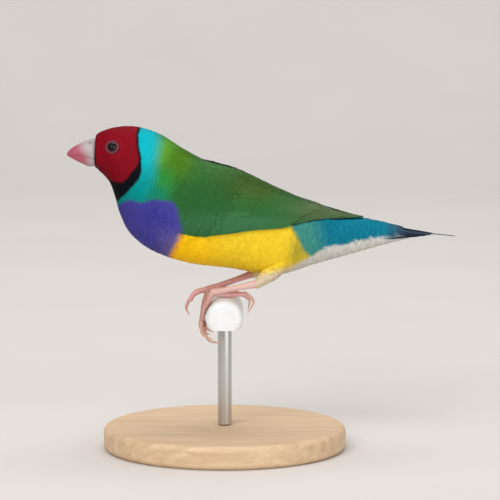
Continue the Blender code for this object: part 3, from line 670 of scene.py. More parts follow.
def lay_coat(name, places, template, colour, material, random, on_wing=False):
    """One piece of the small feathers of the body."""
    length = along_stations(FEATHER_LENGTH, places[:, 0]) * (COVERT_SCALE if on_wing else 1)
    flow, keep = eye_flow(places, length)
    if on_wing:
        flow = wing_flow(places)
    places, length, flow = places[keep], length[keep], flow[keep]
    s, a = places.T
    depth = along_stations(COAT_DEPTH, s) * (0.5 if on_wing else 0.95)
    _, long, _ = surface_frame(body_point, s, a)
    over = wing_share(s, a) < WING_LOWER_RIM
    tip = wing_rise(s + length / long, a, over)
    tip = tip + random.normal(-0.02, 0.014, len(places)) * np.sqrt(length)
    root = wing_rise(s, a, over) - depth
    mesh = coat_mesh(
        name, body_point, places, (length, length * FEATHER_WIDTH), (root, tip), template, colour,
        body_unwrap, random, flow=flow,
    )
    add_piece(name, mesh, material)


def make_body_coat(material):
    """The small feathers of head, neck, body, rump and wing front, as pieces of a manageable size."""
    fine = feather_template(4, 3, 4, 5)
    broad = feather_template(6, 5, 7, 8)
    lengths = (
        ("coat_head_front", 0.06, 1.6, fine, "crimson_feathers"),
        ("coat_head_back", 1.6, 3.3, fine, "crimson_feathers"),
        ("coat_neck_front", 3.3, 4.2, fine, "turquoise_feathers"),
        ("coat_neck_back", 4.2, 5.2, broad, "turquoise_feathers"),
        ("coat_breast", 5.2, 6.8, broad, "yellow_feathers"),
        ("coat_flanks", 6.8, 9.0, broad, "yellow_feathers"),
        ("coat_vent", 9.0, 12.4, broad, "blue_feathers"),
    )
    for order, (name, first, last, template, slot) in enumerate(lengths):
        random = np.random.default_rng(11 + order)
        places = scatter_rows(body_point, first, last, -math.pi, math.pi, random)
        s = places[:, 0]
        share = wing_share(s, places[:, 1])
        top = np.where(s < COVERTS_END, -0.02, 0.07)
        on_wing = (s > COVERTS_START) & (share > top) & (share < WING_LOWER_RIM) & (s < 11.2)
        lay_coat(name, places[~on_wing], template, body_colour, material, random)
    random = np.random.default_rng(29)
    last = COVERTS_END + 0.5
    places = scatter_rows(body_point, COVERTS_START, last, -math.pi, math.pi, random, COVERT_SCALE)
    share = wing_share(places[:, 0], places[:, 1])
    ragged = places[:, 0] < COVERTS_END + random.uniform(0, 0.5, len(places)) ** 1.5
    places = places[(share > -0.02) & (share < 0.98) & ragged]
    lay_coat("coat_coverts", places, broad, covert_colour, material, random, True)


def loft_mesh(name, rings):
    """Closed mesh through rings of points in mm, with a fan at each end."""
    count = len(rings[0])
    points = np.concatenate(rings)
    triangles = grid_triangles(len(rings), count, wrap=True)
    ends = [rings[0].mean(0), rings[-1].mean(0)]
    first = len(points)
    ring = np.arange(count)
    start = np.stack((np.full(count, first), np.roll(ring, -1), ring), -1)
    last = (len(rings) - 1) * count
    stop = np.stack((np.full(count, first + 1), last + ring, last + np.roll(ring, -1)), -1)
    return new_mesh(name, np.vstack((points, ends)), np.concatenate((triangles, start, stop)))


def joined_mesh(name, tubes):
    """Mesh of several closed tubes kept in one piece."""
    bm = bmesh.new()
    for rings in tubes:
        part = loft_mesh("part", rings)
        bm.from_mesh(part)
        bpy.data.meshes.remove(part)
    bmesh.ops.recalc_face_normals(bm, faces=bm.faces)
    mesh = bpy.data.meshes.new(name)
    bm.to_mesh(mesh)
    bm.free()
    mesh.shade_smooth()
    return mesh


LEGS = {
    "left": {"side": -1, "hock": (-0.9, 7.0, 58.5), "joint": (9.3, 27)},
    "right": {"side": 1, "hock": (-1.8, 7.0, 60.4), "joint": (9.3, 38)},
}
FOOT_Y = 8.0


def perch_point(radius, angle, y):
    """Point round the perch: angle in degrees from the top, forwards; y in mm."""
    turn = math.radians(angle)
    return np.array((PERCH_X - radius * math.sin(turn), y, PERCH_Z + radius * math.cos(turn)))


def leg_ends(name):
    leg = LEGS[name]
    x, y, z = leg["hock"]
    return np.array((x, leg["side"] * y, z)), perch_point(*leg["joint"], leg["side"] * FOOT_Y)


def tube_surface(rows):
    """Surface of a round tube through rows of x, y, z and radius, by row and angle."""
    rows = np.array(rows, float)

    def point(s, a):
        s = np.asarray(s, float)
        value = smooth_rows(rows, s)
        ahead = smooth_rows(rows, s + 0.02)[..., :3] - smooth_rows(rows, s - 0.02)[..., :3]
        forward = unit(ahead)
        across = unit(np.cross(forward, (0.0, 1.0, 0.0)))
        upward = np.cross(across, forward)
        ring = across * np.cos(a)[..., None] + upward * np.sin(a)[..., None]
        return value[..., :3] + ring * value[..., 3:4]
    return point


def thigh_rows(name):
    side = LEGS[name]["side"]
    hock, joint = leg_ends(name)
    forward = (joint - hock) / np.linalg.norm(joint - hock)
    return (
        (8.4, side * 3.8, 71.0, 3.8),
        (7.6, side * 4.4, 68.6, 3.9),
        (4.3, side * 6.0, 63.3, 3.1),
        (hock[0] + 1.6, hock[1] - side * 0.2, hock[2] + 1.6, 2.1),
        (*(hock + forward * 0.4), 1.35),
    )


def thigh_core(name):
    """Rings of points of a thigh under its coat."""
    shape = tube_surface(thigh_rows(name))
    angles = np.linspace(0, 2 * math.pi, 40, endpoint=False)
    depth = np.full(angles.shape, -THIGH_DEPTH)
    return [lifted(shape, np.full(angles.shape, s), angles, depth, -1) for s in np.linspace(0, 4, 40)]


def make_skin(material):
    """One closed skin under the coat, with the thighs run into the body."""
    rings = []
    angles = np.linspace(-math.pi, math.pi, 96, endpoint=False)
    for station in np.linspace(0.02, BODY_END, 160):
        s = np.full(angles.shape, station)
        depth = along_stations(COAT_DEPTH, s) + 1.6 * smooth_step(12.0, BODY_END, s)
        rings.append(lifted(body_point, s, angles, -depth))
    mesh = joined_mesh("skin", [rings] + [thigh_core(name) for name in LEGS])
    skin = new_object("skin", mesh)
    remesh = skin.modifiers.new("One skin", "REMESH")
    remesh.mode = "VOXEL"
    remesh.voxel_size = SKIN_VOXEL * MM
    remesh.use_smooth_shade = True
    graph = bpy.context.evaluated_depsgraph_get()
    whole = bpy.data.meshes.new_from_object(skin.evaluated_get(graph))
    bpy.data.objects.remove(skin, do_unlink=True)
    bpy.data.meshes.remove(mesh)
    # Painted shade: the skin takes the plumage's colour darkened, standing for the shade in the gaps of the
    # coat.
    paint(whole, body_colour(mesh_points(whole)) * SKIN_PAINTED_SHADE)
    replaced = ("head", "neck", "torso", "rump", "thigh_left", "thigh_right")
    add_piece("skin", whole, material, replaced)


def make_thigh_coat(name, material):
    """Loose feathers of one thigh, longest next to the body."""
    random = np.random.default_rng(31 + len(name))
    shape = tube_surface(thigh_rows(name))
    s = 0.4 + 3.4 * np.sqrt(random.uniform(0, 1, THIGH_FEATHERS))
    places = np.stack((s, random.uniform(0, 2 * math.pi, THIGH_FEATHERS)), -1)
    _, long, _ = surface_frame(shape, s, places[:, 1])
    length = np.minimum(np.interp(s, (0, 2, 4), (4.0, 3.0, 1.8)), (4.35 - s) * long)
    places, length = places[length > 0.7], length[length > 0.7]
    tip = random.normal(0.05, 0.12, len(places))
    root = np.full(len(places), -0.5)
    map_place = 0.6 if LEGS[name]["side"] < 0 else 0.8

    def unwrap(s, a):
        return np.stack(np.broadcast_arrays(0.02 + s * 0.05, map_place + a * 0.02), -1)

    mesh = coat_mesh(
        "coat_thigh_" + name, shape, places, (length, length * 0.42), (root, tip),
        feather_template(5, 3, 6, 6), body_colour, unwrap, random, turn=-1, loose_lift=0.03,
    )
    add_piece("coat_thigh_" + name, mesh, material)


# Tiers of the folded wing, from the lowest up: count, then for the first and the last vane the
# root's station and share of the way down the wing, the tip's, the lift and the width in mm.
WING_TIERS = (
    ("primaries", 9, ((8.3, 0.95), (8.2, 0.5)), ((11.5, 0.6), (10.0, 0.45)), (0.5, 1.05), (3.4, 4.4)),
    ("secondaries", 8, ((7.1, 0.95), (7.2, 0.34)), ((8.95, 0.95), (9.75, 0.38)), (1.05, 1.2), (3.6, 4.6)),
    ("primary_coverts", 4, ((6.6, 0.96), (6.7, 0.86)), ((8.2, 0.96), (7.9, 0.87)), (1.1, 1.2), (2.6, 3.0)),
    ("tertials", 3, ((7.0, 0.34), (7.2, 0.12)), ((9.7, 0.3), (9.0, 0.1)), (1.22, 1.32), (5.6, 5.8)),
    ("greater_coverts", 11, ((6.35, 0.97), (6.5, 0.1)), ((7.75, 0.96), (7.85, 0.16)),
     (1.25, 1.35), (3.2, 3.8)),
)


def vane_grid(rows):
    """Points of one long vane as shares across and along it, its triangles and each point's lane."""
    along = np.linspace(0, 1, rows) ** 0.8
    across = np.array(VANE_LANES)
    width = np.maximum(vane_profile(along, 0.45, 0.6), 0.03)
    grid = np.stack(np.broadcast_arrays(across[None] * width[:, None], along[:, None]), -1)
    return grid.reshape(-1, 2), grid_triangles(rows, len(across)), np.tile(across, rows)


def vane_block(side, root, tip, lift, width, random, rows):
    """Points, triangles and maps of the vanes of one tier, and the way up from the wing at them."""
    shares, triangles, lane = vane_grid(rows)
    across = shares[:, 0][None]
    along = shares[:, 1][None]
    station = root[:, 0:1] + (tip[:, 0:1] - root[:, 0:1]) * along
    share = root[:, 1:2] + (tip[:, 1:2] - root[:, 1:2]) * along
    shape = wing_surface(side)
    _, _, wide = surface_frame(shape, station, share)
    outward = across * (1 - SHAFT_SHIFT * np.sign(lane)[None])
    share = share + outward * width[:, None] / 2 / np.maximum(wide, 0.5)
    ridge = 0.1 * np.clip(1 - np.abs(lane) / 0.1, 0, 1)[None] * (1 - 0.6 * along)
    rise = lift[:, None] + VANE_TILT * across + ridge - 0.12 * across ** 2
    rise = rise - 0.25 * (1 - smooth_step(0, 0.25, along))
    rise = rise + 0.03 * np.sin(along * 9 + random.uniform(0, 6, (len(root), 1))) * np.abs(lane)[None]
    upward, _, _ = surface_frame(shape, station, share, side)
    solid = shape(station, share) + upward * rise[..., None]
    solid[..., 1] = -side * np.maximum(-side * solid[..., 1], MIDLINE_CLEARANCE)
    return solid, triangles, station, share, across, along, upward


def tier_values(pair, count):
    steps = np.linspace(0, 1, count)
    first, last = np.array(pair[0], float), np.array(pair[1], float)
    if first.ndim == 0:
        return first + (last - first) * steps
    return first[None] + (last - first)[None] * steps[:, None]


def make_wing(name, side, material):
    """Folded wing of flight feathers and greater coverts in tiers."""
    random = np.random.default_rng(51)
    blocks = []
    for tier, count, root, tip, lift, width in WING_TIERS:
        roots = tier_values(root, count) + random.normal(0, 0.01, (count, 2))
        tips = tier_values(tip, count) + random.normal(0, 0.015, (count, 2))
        lifts = tier_values(lift, count) + 0.03 * (np.arange(count) % 2)
        rows = 20 if tier == "greater_coverts" else 30
        block = vane_block(side, roots, tips, lifts, tier_values(width, count), random, rows)
        blocks.append((tier, block))
    points, faces, colours, places, vanes, normals = [], [], [], [], [], []
    start = 0
    for tier, (solid, triangles, station, share, across, along, upward) in blocks:
        count, size = solid.shape[:2]
        colour = green_colour(*side_plan(solid))
        if tier == "primaries":
            dark = smooth_step(0.3, -0.6, across) * smooth_step(16, 30, solid[..., 0]) * 0.5
            colour = mix(colour, FLIGHT_BROWN * 0.55, dark)
            colour = mix(colour, FLIGHT_END, smooth_step(31.5, 37, solid[..., 0]))
        # Painted shade: each vane darker towards its root, which the vanes and coverts over it shade; each
        # also a little lighter or darker at random.
        root_shade_and_tone = random.normal(1, 0.04, (count, 1)) * (0.92 + 0.08 * smooth_step(0.0, 0.5, along))
        points.append(solid.reshape(-1, 3))
        normals.append(upward.reshape(-1, 3))
        colours.append((colour * root_shade_and_tone[..., None]).reshape(-1, 3))
        faces.append((triangles[None] + (start + np.arange(count) * size)[:, None, None]).reshape(-1, 3))
        root_place = np.stack((0.02 + (station[:, :1] - 5) * 0.13, 0.1 + share[:, :1] * 0.7), -1)
        vane = np.stack(np.broadcast_arrays(across, along, station)[:2], -1)
        places.append((root_place + (vane - (0, 0.5)) * BAKE_PATCH).reshape(-1, 2))
        vanes.append(vane.reshape(-1, 2))
        start += count * size
    points = np.concatenate(points)
    normals = np.concatenate(normals)
    faces = faced(points, np.concatenate(faces), normals)
    mesh = new_mesh("vanes_wing_" + name, points, faces)
    soften(mesh, normals, VANE_SILKINESS)
    map_feathers(mesh, np.concatenate(colours), np.concatenate(places), np.concatenate(vanes), faces)
    add_piece("vanes_wing_" + name, mesh, material, ("wing_" + name,))


# Tail feathers, from the middle pair to the outermost: tip's x and z, root's z, width and y, in mm.
TAIL_ROOT_X = 39.0
TAIL_FEATHERS = (
    (59.0, 74.75, 78.9, 4.4, 1.2),
    (58.2, 74.55, 78.0, 4.6, 1.7),
    (56.6, 74.3, 77.1, 4.6, 2.1),
    (54.4, 74.1, 75.9, 4.4, 2.4),
    (52.0, 73.95, 75.2, 4.2, 2.7),
    (49.6, 73.85, 74.6, 4.0, 2.9),
)
TAIL_ROOF = math.radians(18)
PIN_TIP = (66.7, 74.0)
PIN_Y = 0.6


def tail_block(side, feather):
    tip_x, tip_z, root_z, width, y = feather
    shares, triangles, lane = vane_grid(34)
    across = shares[:, 0]
    along = shares[:, 1]
    root = np.array((TAIL_ROOT_X - 3, side * y * 0.75, root_z + 0.3))
    tip = np.array((tip_x, side * y * 0.5, tip_z))
    out = np.array((0, side * math.cos(TAIL_ROOF), -math.sin(TAIL_ROOF)))
    up = np.array((0, side * math.sin(TAIL_ROOF), math.cos(TAIL_ROOF)))
    solid = root + (tip - root) * along[:, None]
    solid[:, 2] -= 0.5 * np.sin(math.pi * along)
    half = width / 2 * (1 - 0.3 * along)
    ridge = 0.08 * np.clip(1 - np.abs(lane) / 0.1, 0, 1) + 0.25 - 0.15 * across ** 2
    solid = solid + out * (across * half)[:, None] + up * ridge[:, None]
    return solid, triangles, across, along


def pin_block(side):
    """Long wire-thin end of a middle tail feather, with a narrow vane on each side."""
    shares, triangles, lane = vane_grid(30)
    along = shares[:, 1]
    start_x, start_z = TAIL_FEATHERS[0][0] - 5, TAIL_FEATHERS[0][1] + 0.5
    x = start_x + (PIN_TIP[0] - start_x) * along
    z = start_z + (PIN_TIP[1] - start_z) * along + 0.1 * np.sin(math.pi * along)
    half = 0.45 * (1 - 0.75 * along)
    y = side * PIN_Y + lane * half
    ridge = 0.1 * np.clip(1 - np.abs(lane) / 0.2, 0, 1)
    return np.stack((x, y, z + ridge - 0.15 * np.abs(lane) * half), -1), triangles, lane, along


def make_tail(material):
    """Closed tail of narrow vanes in steps, with its two long fine middle ends."""
    points, faces, colours, places, vanes = [], [], [], [], []
    random = np.random.default_rng(71)
    start = 0
    for side in (1, -1):
        blocks = [tail_block(side, feather) for feather in TAIL_FEATHERS] + [pin_block(side)]
        for order, (solid, triangles, across, along) in enumerate(blocks):
            x, h = side_plan(solid)
            colour = rear_colour(x, h) * random.normal(1, 0.04)
            colour = mix(colour, srgb(30, 38, 48), smooth_step(0.3, 1.0, along) * 0.5)
            points.append(solid)
            colours.append(colour)
            faces.append(triangles + start)
            place = np.array((0.95, 0.1 + 0.05 * order + 0.4 * (side > 0)))
            places.append(place + np.stack((across, along - 0.5), -1) * BAKE_PATCH)
            vanes.append(np.stack((across, along), -1))
            start += len(solid)
    faces = np.concatenate(faces)
    mesh = new_mesh("vanes_tail", np.concatenate(points), faces)
    map_feathers(mesh, np.concatenate(colours), np.concatenate(places), np.concatenate(vanes), faces)
    add_piece("vanes_tail", mesh, material, ("tail",))


def make_eyes(eye_material, ring_material):
    for name, (point, normal) in zip(("left", "right"), eye_places()):
        centre = point - normal * EYE_SINK
        turn = Vector(normal).to_track_quat("Z", "Y").to_matrix().to_4x4()
        frame = np.array(turn)[:3, :3]
        polar = np.linspace(0, math.pi, 60)[1:-1]
        around = np.linspace(0, 2 * math.pi, 72, endpoint=False)
        rings = []
        for angle in polar:
            radius = EYE_RADIUS + 0.1 * math.exp(-(angle / 0.42) ** 2)
            flat = radius * math.sin(angle)
            height = np.full(around.shape, radius * math.cos(angle))
            local = np.stack((flat * np.cos(around), flat * np.sin(around), height), -1)
            rings.append(centre + local @ frame.T)
        mesh = loft_mesh("eyeball_" + name, rings)
        tone = np.concatenate((np.repeat(polar, len(around)), (0.0, math.pi)))
        iris = mix(srgb(5, 4, 4), srgb(15, 9, 8), smooth_step(0.36, 0.46, tone))
        paint(mesh, mix(iris, srgb(8, 6, 6), smooth_step(0.72, 0.85, tone)))
        add_piece("eyeball_" + name, mesh, eye_material, ("eye_" + name,))
        make_eye_ring(name, point, frame, ring_material)


def make_eye_ring(name, point, frame, material):
    """Bare ring of small beads of skin round the eye."""
    around = np.linspace(0, 2 * math.pi, 144, endpoint=False)
    rings = []
    for k in np.linspace(0, 2 * math.pi, 17)[:-1]:
        bead = 1 + 0.12 * np.cos(around * 26) * (0.6 + 0.4 * math.cos(k))
        radius = RING_MIDDLE + RING_HALF_WIDTH * math.cos(k) * bead
        height = RING_HALF_HEIGHT * math.sin(k) * bead - RING_SINK
        local = np.stack((radius * np.cos(around) * 1.04, radius * np.sin(around) * 0.96, height), -1)
        rings.append(point + local @ frame.T)
    points = np.concatenate(rings)
    count = len(around)
    triangles = grid_triangles(len(rings), count, wrap=True)
    last = (len(rings) - 1) * count
    j = np.arange(count)
    k = (j + 1) % count
    seam = np.concatenate((np.stack((last + j, last + k, k), -1), np.stack((last + j, k, j), -1)))
    mesh = new_mesh("eye_ring_" + name, points, np.concatenate((triangles, seam)))
    add_piece("eye_ring_" + name, mesh, material)


def nostril_distance(points):
    """Distance in mm from the nostrils' centre as the side shows it, counted less along the bill."""
    x, _, z = points.T
    return np.hypot((x - (BILL_BASE_X - 0.9)) / 1.4, z - (BILL_MOUTH_Z + 4.45))


def bill_mesh(upper):
    """One half of the bill from its tip to just under the face's feathers, and each point's tone."""
    rings = []
    tones = []
    for share in np.linspace(0.03, 1.1, 70) ** 1.25:
        inner = min(share, 1.0)
        x = BILL_TIP_X + (BILL_BASE_X - BILL_TIP_X) * share
        mouth = BILL_MOUTH_Z - BILL_GAPE_DROP * max(0, share - 0.55) / 0.45
        half_width = BILL_HALF_WIDTH * inner ** 0.65 * (1 if upper else 0.93) - max(0, share - 1) * 3
        if upper:
            height = BILL_UPPER_HEIGHT * inner ** 0.55 + (BILL_MOUTH_Z - mouth) - max(0, share - 1) * 3
            start = mouth + 0.05
        else:
            height = -BILL_LOWER_DEPTH * min(1, inner / 0.82) ** 0.85 + (BILL_MOUTH_Z - mouth)
            start = mouth - 0.05
        angle = np.radians(np.linspace(-90, 90, 61))
        out = signed_power(np.sin(angle), 0.9)
        edge = np.clip(1 - (90 - np.abs(np.degrees(angle))) / 12, 0, 1)
        y = half_width * out * (1 - 0.04 * edge)
        z = start + height * np.cos(angle)
        ring = np.stack((np.full(angle.shape, x), y, z), -1)
        if upper:
            away = nostril_distance(ring)
            for side in (1, -1):
                hollow = np.exp(-(away / 0.42) ** 2) * (ring[:, 1] * side > 0.4)
                ring[:, 1] -= side * 0.35 * hollow
        growth = 0.004 * np.sin(share * 58 + 2 * np.cos(angle))
        ring[:, 1] *= 1 + growth * np.clip(share * 1.5, 0, 1)
        rings.append(ring)
        tones.append(np.full(len(angle), share))
    mesh = loft_mesh("bill", rings)
    tone = np.concatenate(tones + [np.array((0.0, 1.2))])
    return mesh, tone


def make_bill(material):
    rose = srgb(168, 78, 96)
    pale = srgb(166, 154, 156)
    for name, upper in (("upper", True), ("lower", False)):
        mesh, tone = bill_mesh(upper)
        points = mesh_points(mesh)
        if upper:
            above = (points[:, 2] - BILL_MOUTH_Z) / BILL_UPPER_HEIGHT
            share = smooth_step(0.46, 1.02, tone + 0.38 * above)
        else:
            share = smooth_step(0.6, 0.98, tone) * 0.9
        colour = mix(rose, pale, share)
        if upper:
            # Painted shade: the upper bill darker in the hollow of each nostril.
            nostril = np.exp(-(nostril_distance(points) / 0.32) ** 4) * (np.abs(points[:, 1]) > 0.4)
            colour = mix(colour, srgb(110, 84, 84), nostril)
        paint(mesh, colour)
        add_piece("bill_horn_" + name, mesh, material, ("bill_" + name,))


GRIP = 7.55
TOES = {
    "left": (
        {"angles": (40, 66, 92, 118), "radii": (8.2, GRIP, GRIP, GRIP), "spread": 0.3,
         "claw": ((152, 9.7), (184, 9.0))},
        {"angles": (40, 60, 80, 100), "radii": (8.1, GRIP, GRIP, GRIP), "spread": 3.1,
         "claw": ((130, 9.3), (155, 8.3))},
        {"angles": (40, 58, 76, 92), "radii": (8.1, GRIP, GRIP, GRIP), "spread": -2.9,
         "claw": ((121, 9.3), (145, 8.3))},
        {"angles": (8, -12, -31, -45), "radii": (7.8, GRIP, 8.6, 10.4), "spread": -3.0,
         "claw": ((-66, 10.9), (-86, 7.9))},
    ),
    "right": (
        {"angles": (46, 56, 66, 75), "radii": (10.2, 11.6, 12.4, 12.6), "spread": -0.6,
         "claw": ((88, 13.4), (98, 12.4))},
        {"angles": (50, 68, 88, 106), "radii": (8.2, GRIP, GRIP, GRIP), "spread": 2.9,
         "claw": ((136, 9.3), (160, 8.3))},
        {"angles": (50, 66, 84, 98), "radii": (8.2, GRIP, GRIP, GRIP), "spread": -3.1,
         "claw": ((128, 9.3), (152, 8.3))},
        {"angles": (18, -4, -24, -43), "radii": (7.9, GRIP, GRIP, 7.9), "spread": -3.0,
         "claw": ((-68, 9.3), (-88, 8.0))},
    ),
}
TOE_RADIUS = 1.05
TOE_END_RADIUS = 0.75
SCUTE_LENGTH = 0.62
# Distance in mm between the rings of points of a scaled tube.
TUBE_STEP = 0.11
LEG_PALE = srgb(216, 178, 171)
LEG_ROSE = srgb(222, 164, 164)
# Darker rose of the toes on the perch: partly their own tone, partly painted shade under the bird.
TOE_ROSE_AND_SHADE = srgb(184, 136, 126)


def scaled_tube(rows, scutes, sides, knuckles=0):
    """Round tube through rows of x, y, z and radius, with scutes and knuckles swelling it."""
    rows = np.array(rows, float)
    fine = np.linspace(0, len(rows) - 1, 400)
    line = smooth_rows(rows, fine)
    run = np.concatenate(((0,), np.cumsum(np.linalg.norm(np.diff(line[:, :3], axis=0), axis=1))))
    count = max(8, int(run[-1] / TUBE_STEP))
    place = np.interp(np.linspace(0, run[-1], count), run, fine)
    angles = np.linspace(0, 2 * math.pi, sides, endpoint=False)
    shape = tube_surface(rows)
    rings = []
    for k, s in enumerate(place):
        share = k / (count - 1)
        plate = (run[-1] * k / (count - 1) / SCUTE_LENGTH) % 1
        swell = scutes * (0.35 + 0.65 * plate) * (1 - smooth_step(0.86, 1.0, plate))
        swell = swell + 0.05 * knuckles * max(0, math.cos(share * math.pi * 2 * knuckles)) ** 3
        ends = math.sqrt(max(0.02, min(1, share / 0.04, (1 - share) / 0.04)))
        base = shape(np.full(sides, s), angles)
        centre = base.mean(0)
        radius = np.linalg.norm(base - centre, axis=1, keepdims=True)
        rings.append(centre + (base - centre) / radius * (radius * ends + swell))
    return rings


def leg_colour(points):
    """Pale outer side of a leg, rosier inner side, and toes painted darker round the perch, most in front of
    it, partly a rosier tone and partly painted shade under the bird.
    """
    x, y, z = points.T
    inner = smooth_step(0.5, -0.5, np.abs(y) - 7.5)
    away = np.hypot(x - PERCH_X, z - PERCH_Z)
    ahead = smooth_step(2.0, 6.5, PERCH_X - x)
    colour = mix(LEG_PALE, LEG_ROSE, inner)
    # Painted shade with a rosier tone: the toes darker round the perch, most in front of it.
    return mix(colour, TOE_ROSE_AND_SHADE, smooth_step(11.5, 8.5, away) * (0.25 + 0.75 * ahead))


def make_foot(name, skin_material, claw_material):
    side = LEGS[name]["side"]
    hock, joint = leg_ends(name)
    shank = joint - hock
    forward = shank / np.linalg.norm(shank)
    tubes = [scaled_tube((
        (*(hock - forward * 0.6), 1.35), (*(hock + forward * 1.2), 1.32), (*(hock + shank * 0.4), 0.98),
        (*(hock + shank * 0.8), 1.02), (*joint, 1.3), (*(joint + forward * 0.9), 1.0),
    ), 0.09, 32)]
    claws = []
    for toe in TOES[name]:
        count = len(toe["angles"])
        rows = [(*joint, TOE_RADIUS)]
        for k, (angle, radius) in enumerate(zip(toe["angles"], toe["radii"])):
            share = (k + 1) / count
            y = side * (FOOT_Y + toe["spread"] * min(1, share * 1.4))
            thickness = TOE_RADIUS + (TOE_END_RADIUS - TOE_RADIUS) * share
            rows.append((*perch_point(radius, angle, y), thickness))
        tubes.append(scaled_tube(rows, 0.07, 24, knuckles=2))
        (bend_angle, bend_radius), (tip_angle, tip_radius) = toe["claw"]
        end_angle = toe["angles"][-1]
        end_radius = toe["radii"][-1]
        back = math.copysign(6, bend_angle)
        middle = ((end_radius + bend_radius) / 2 + 0.35, (end_angle + bend_angle) / 2)
        claws.append(scaled_tube((
            (*perch_point(end_radius + 0.15, end_angle - back, y), 0.56),
            (*perch_point(*middle, y), 0.54),
            (*perch_point(bend_radius, bend_angle, y), 0.38),
            (*perch_point(tip_radius, tip_angle, y), 0.1),
        ), 0, 16))
    skin = joined_mesh("leg_skin_" + name, tubes)
    paint(skin, leg_colour(mesh_points(skin)))
    add_piece("leg_skin_" + name, skin, skin_material, ("leg_" + name, "foot_" + name))
    horn = joined_mesh("claws_" + name, claws)
    add_piece("claws_" + name, horn, claw_material)


def turned_mesh(name, profile, sides, axis, centre):
    """Solid turned from a profile of radius and height pairs, about an upright or a level axis."""
    angles = np.linspace(0, 2 * math.pi, sides, endpoint=False)
    rings = []
    for radius, height in profile:
        x = radius * np.cos(angles)
        y = radius * np.sin(angles)
        h = np.full(angles.shape, height)
        ring = np.stack((x, y, h), -1) if axis == "Z" else np.stack((x, h, -y), -1)
        rings.append(ring + np.array(centre))
    return loft_mesh(name, rings)


def cut_flat(mesh, height):
    """Cut away what lies under a height in mm and close the cut."""
    bm = bmesh.new()
    bm.from_mesh(mesh)
    whole = bm.verts[:] + bm.edges[:] + bm.faces[:]
    cut = bmesh.ops.bisect_plane(
        bm, geom=whole, dist=1e-7, plane_co=(0, 0, height * MM), plane_no=(0, 0, 1), clear_inner=True,
    )
    rim = [item for item in cut["geom_cut"] if isinstance(item, bmesh.types.BMEdge)]
    bmesh.ops.edgeloop_fill(bm, edges=rim)
    bmesh.ops.triangulate(bm, faces=bm.faces)
    bm.to_mesh(mesh)
    bm.free()
    mesh.shade_smooth()
    mesh.set_sharp_from_angle(angle=math.radians(35))


def rounded_profile(radius, low, high, edge):
    """Radius and height pairs of a disc or bar with rounded rims."""
    turn = np.radians(np.linspace(0, 90, 8))
    lower = [(radius - edge + edge * math.sin(t), low + edge - edge * math.cos(t)) for t in turn]
    upper = [(radius - edge + edge * math.cos(t), high - edge + edge * math.sin(t)) for t in turn]
    return [(0.02, low)] + lower + upper + [(0.02, high)]


def make_stand(plastic, steel, wood):
    profile = rounded_profile(PERCH_RADIUS, -PERCH_HALF_LENGTH, PERCH_HALF_LENGTH, 2.4)
    perch = turned_mesh("perch_bar", profile, 180, "Y", (PERCH_X, 0, PERCH_Z))
    cut_flat(perch, PERCH_Z - PERCH_FLAT)
    add_piece("perch_bar", perch, plastic, ("perch",))
    profile = rounded_profile(BASE_RADIUS, 0, BASE_HEIGHT, 2.0)
    base = turned_mesh("base_disc", profile, 160, "Z", (PERCH_X, 0, 0))
    add_piece("base_disc", base, wood, ("stand_base",))
    low, high = (np.array(corner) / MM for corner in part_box("stand_rod"))
    profile = rounded_profile((high[0] - low[0]) / 2, low[2], high[2], 0.3)
    rod = turned_mesh("steel_rod", profile, 96, "Z", (PERCH_X, 0, 0))
    add_piece("steel_rod", rod, steel, ("stand_rod",))


def new_material(name):
    material = bpy.data.materials.new(name)
    material.use_nodes = True
    tree = material.node_tree
    return material, tree, tree.nodes["Principled BSDF"]


def add_node(tree, kind, **values):
    node = tree.nodes.new(kind)
    for key, value in values.items():
        setattr(node, key, value)
    return node


def noise_value(tree, scale, detail=3.0, distortion=0.0, stretch=None):
    """Noise over the object's own coordinates, stretched or with its scale in features per metre."""
    place = add_node(tree, "ShaderNodeTexCoord").outputs["Object"]
    if stretch:
        mapping = add_node(tree, "ShaderNodeMapping")
        mapping.inputs["Scale"].default_value = stretch
        tree.links.new(place, mapping.inputs["Vector"])
        place = mapping.outputs["Vector"]
    noise = add_node(tree, "ShaderNodeTexNoise")
    noise.inputs["Scale"].default_value = scale
    noise.inputs["Detail"].default_value = detail
    noise.inputs["Distortion"].default_value = distortion
    tree.links.new(place, noise.inputs["Vector"])
    return noise.outputs["Fac"]


def map_range(tree, source, low, high):
    node = add_node(tree, "ShaderNodeMapRange")
    node.inputs["To Min"].default_value = low
    node.inputs["To Max"].default_value = high
    tree.links.new(source, node.inputs["Value"])
    return node.outputs["Result"]


def vary_roughness(tree, shader, source, low, high):
    tree.links.new(map_range(tree, source, low, high), shader.inputs["Roughness"])


def add_bump(tree, shader, height, strength, distance):
    bump = add_node(tree, "ShaderNodeBump")
    bump.inputs["Strength"].default_value = strength
    bump.inputs["Distance"].default_value = distance
    tree.links.new(height, bump.inputs["Height"])
    tree.links.new(bump.outputs["Normal"], shader.inputs["Normal"])


def two_tones(tree, source, low, high):
    """Colour that runs from one to another with a value."""
    blend = add_node(tree, "ShaderNodeMix", data_type="RGBA")
    blend.inputs[6].default_value = (*low, 1)
    blend.inputs[7].default_value = (*high, 1)
    tree.links.new(source, blend.inputs[0])
    return blend.outputs[2]


def varied(tree, colour, noise, low, high):
    """A colour made a little lighter and darker by noise."""
    vary = add_node(tree, "ShaderNodeHueSaturation")
    tree.links.new(colour, vary.inputs["Color"])
    tree.links.new(map_range(tree, noise, low, high), vary.inputs["Value"])
    return vary.outputs["Color"]


def painted(tree, noise, low, high):
    """The piece's own markings with any painted shade, varied by noise."""
    marking = add_node(tree, "ShaderNodeAttribute", attribute_name="MarkingAndShade")
    return varied(tree, marking.outputs["Color"], noise, low, high)


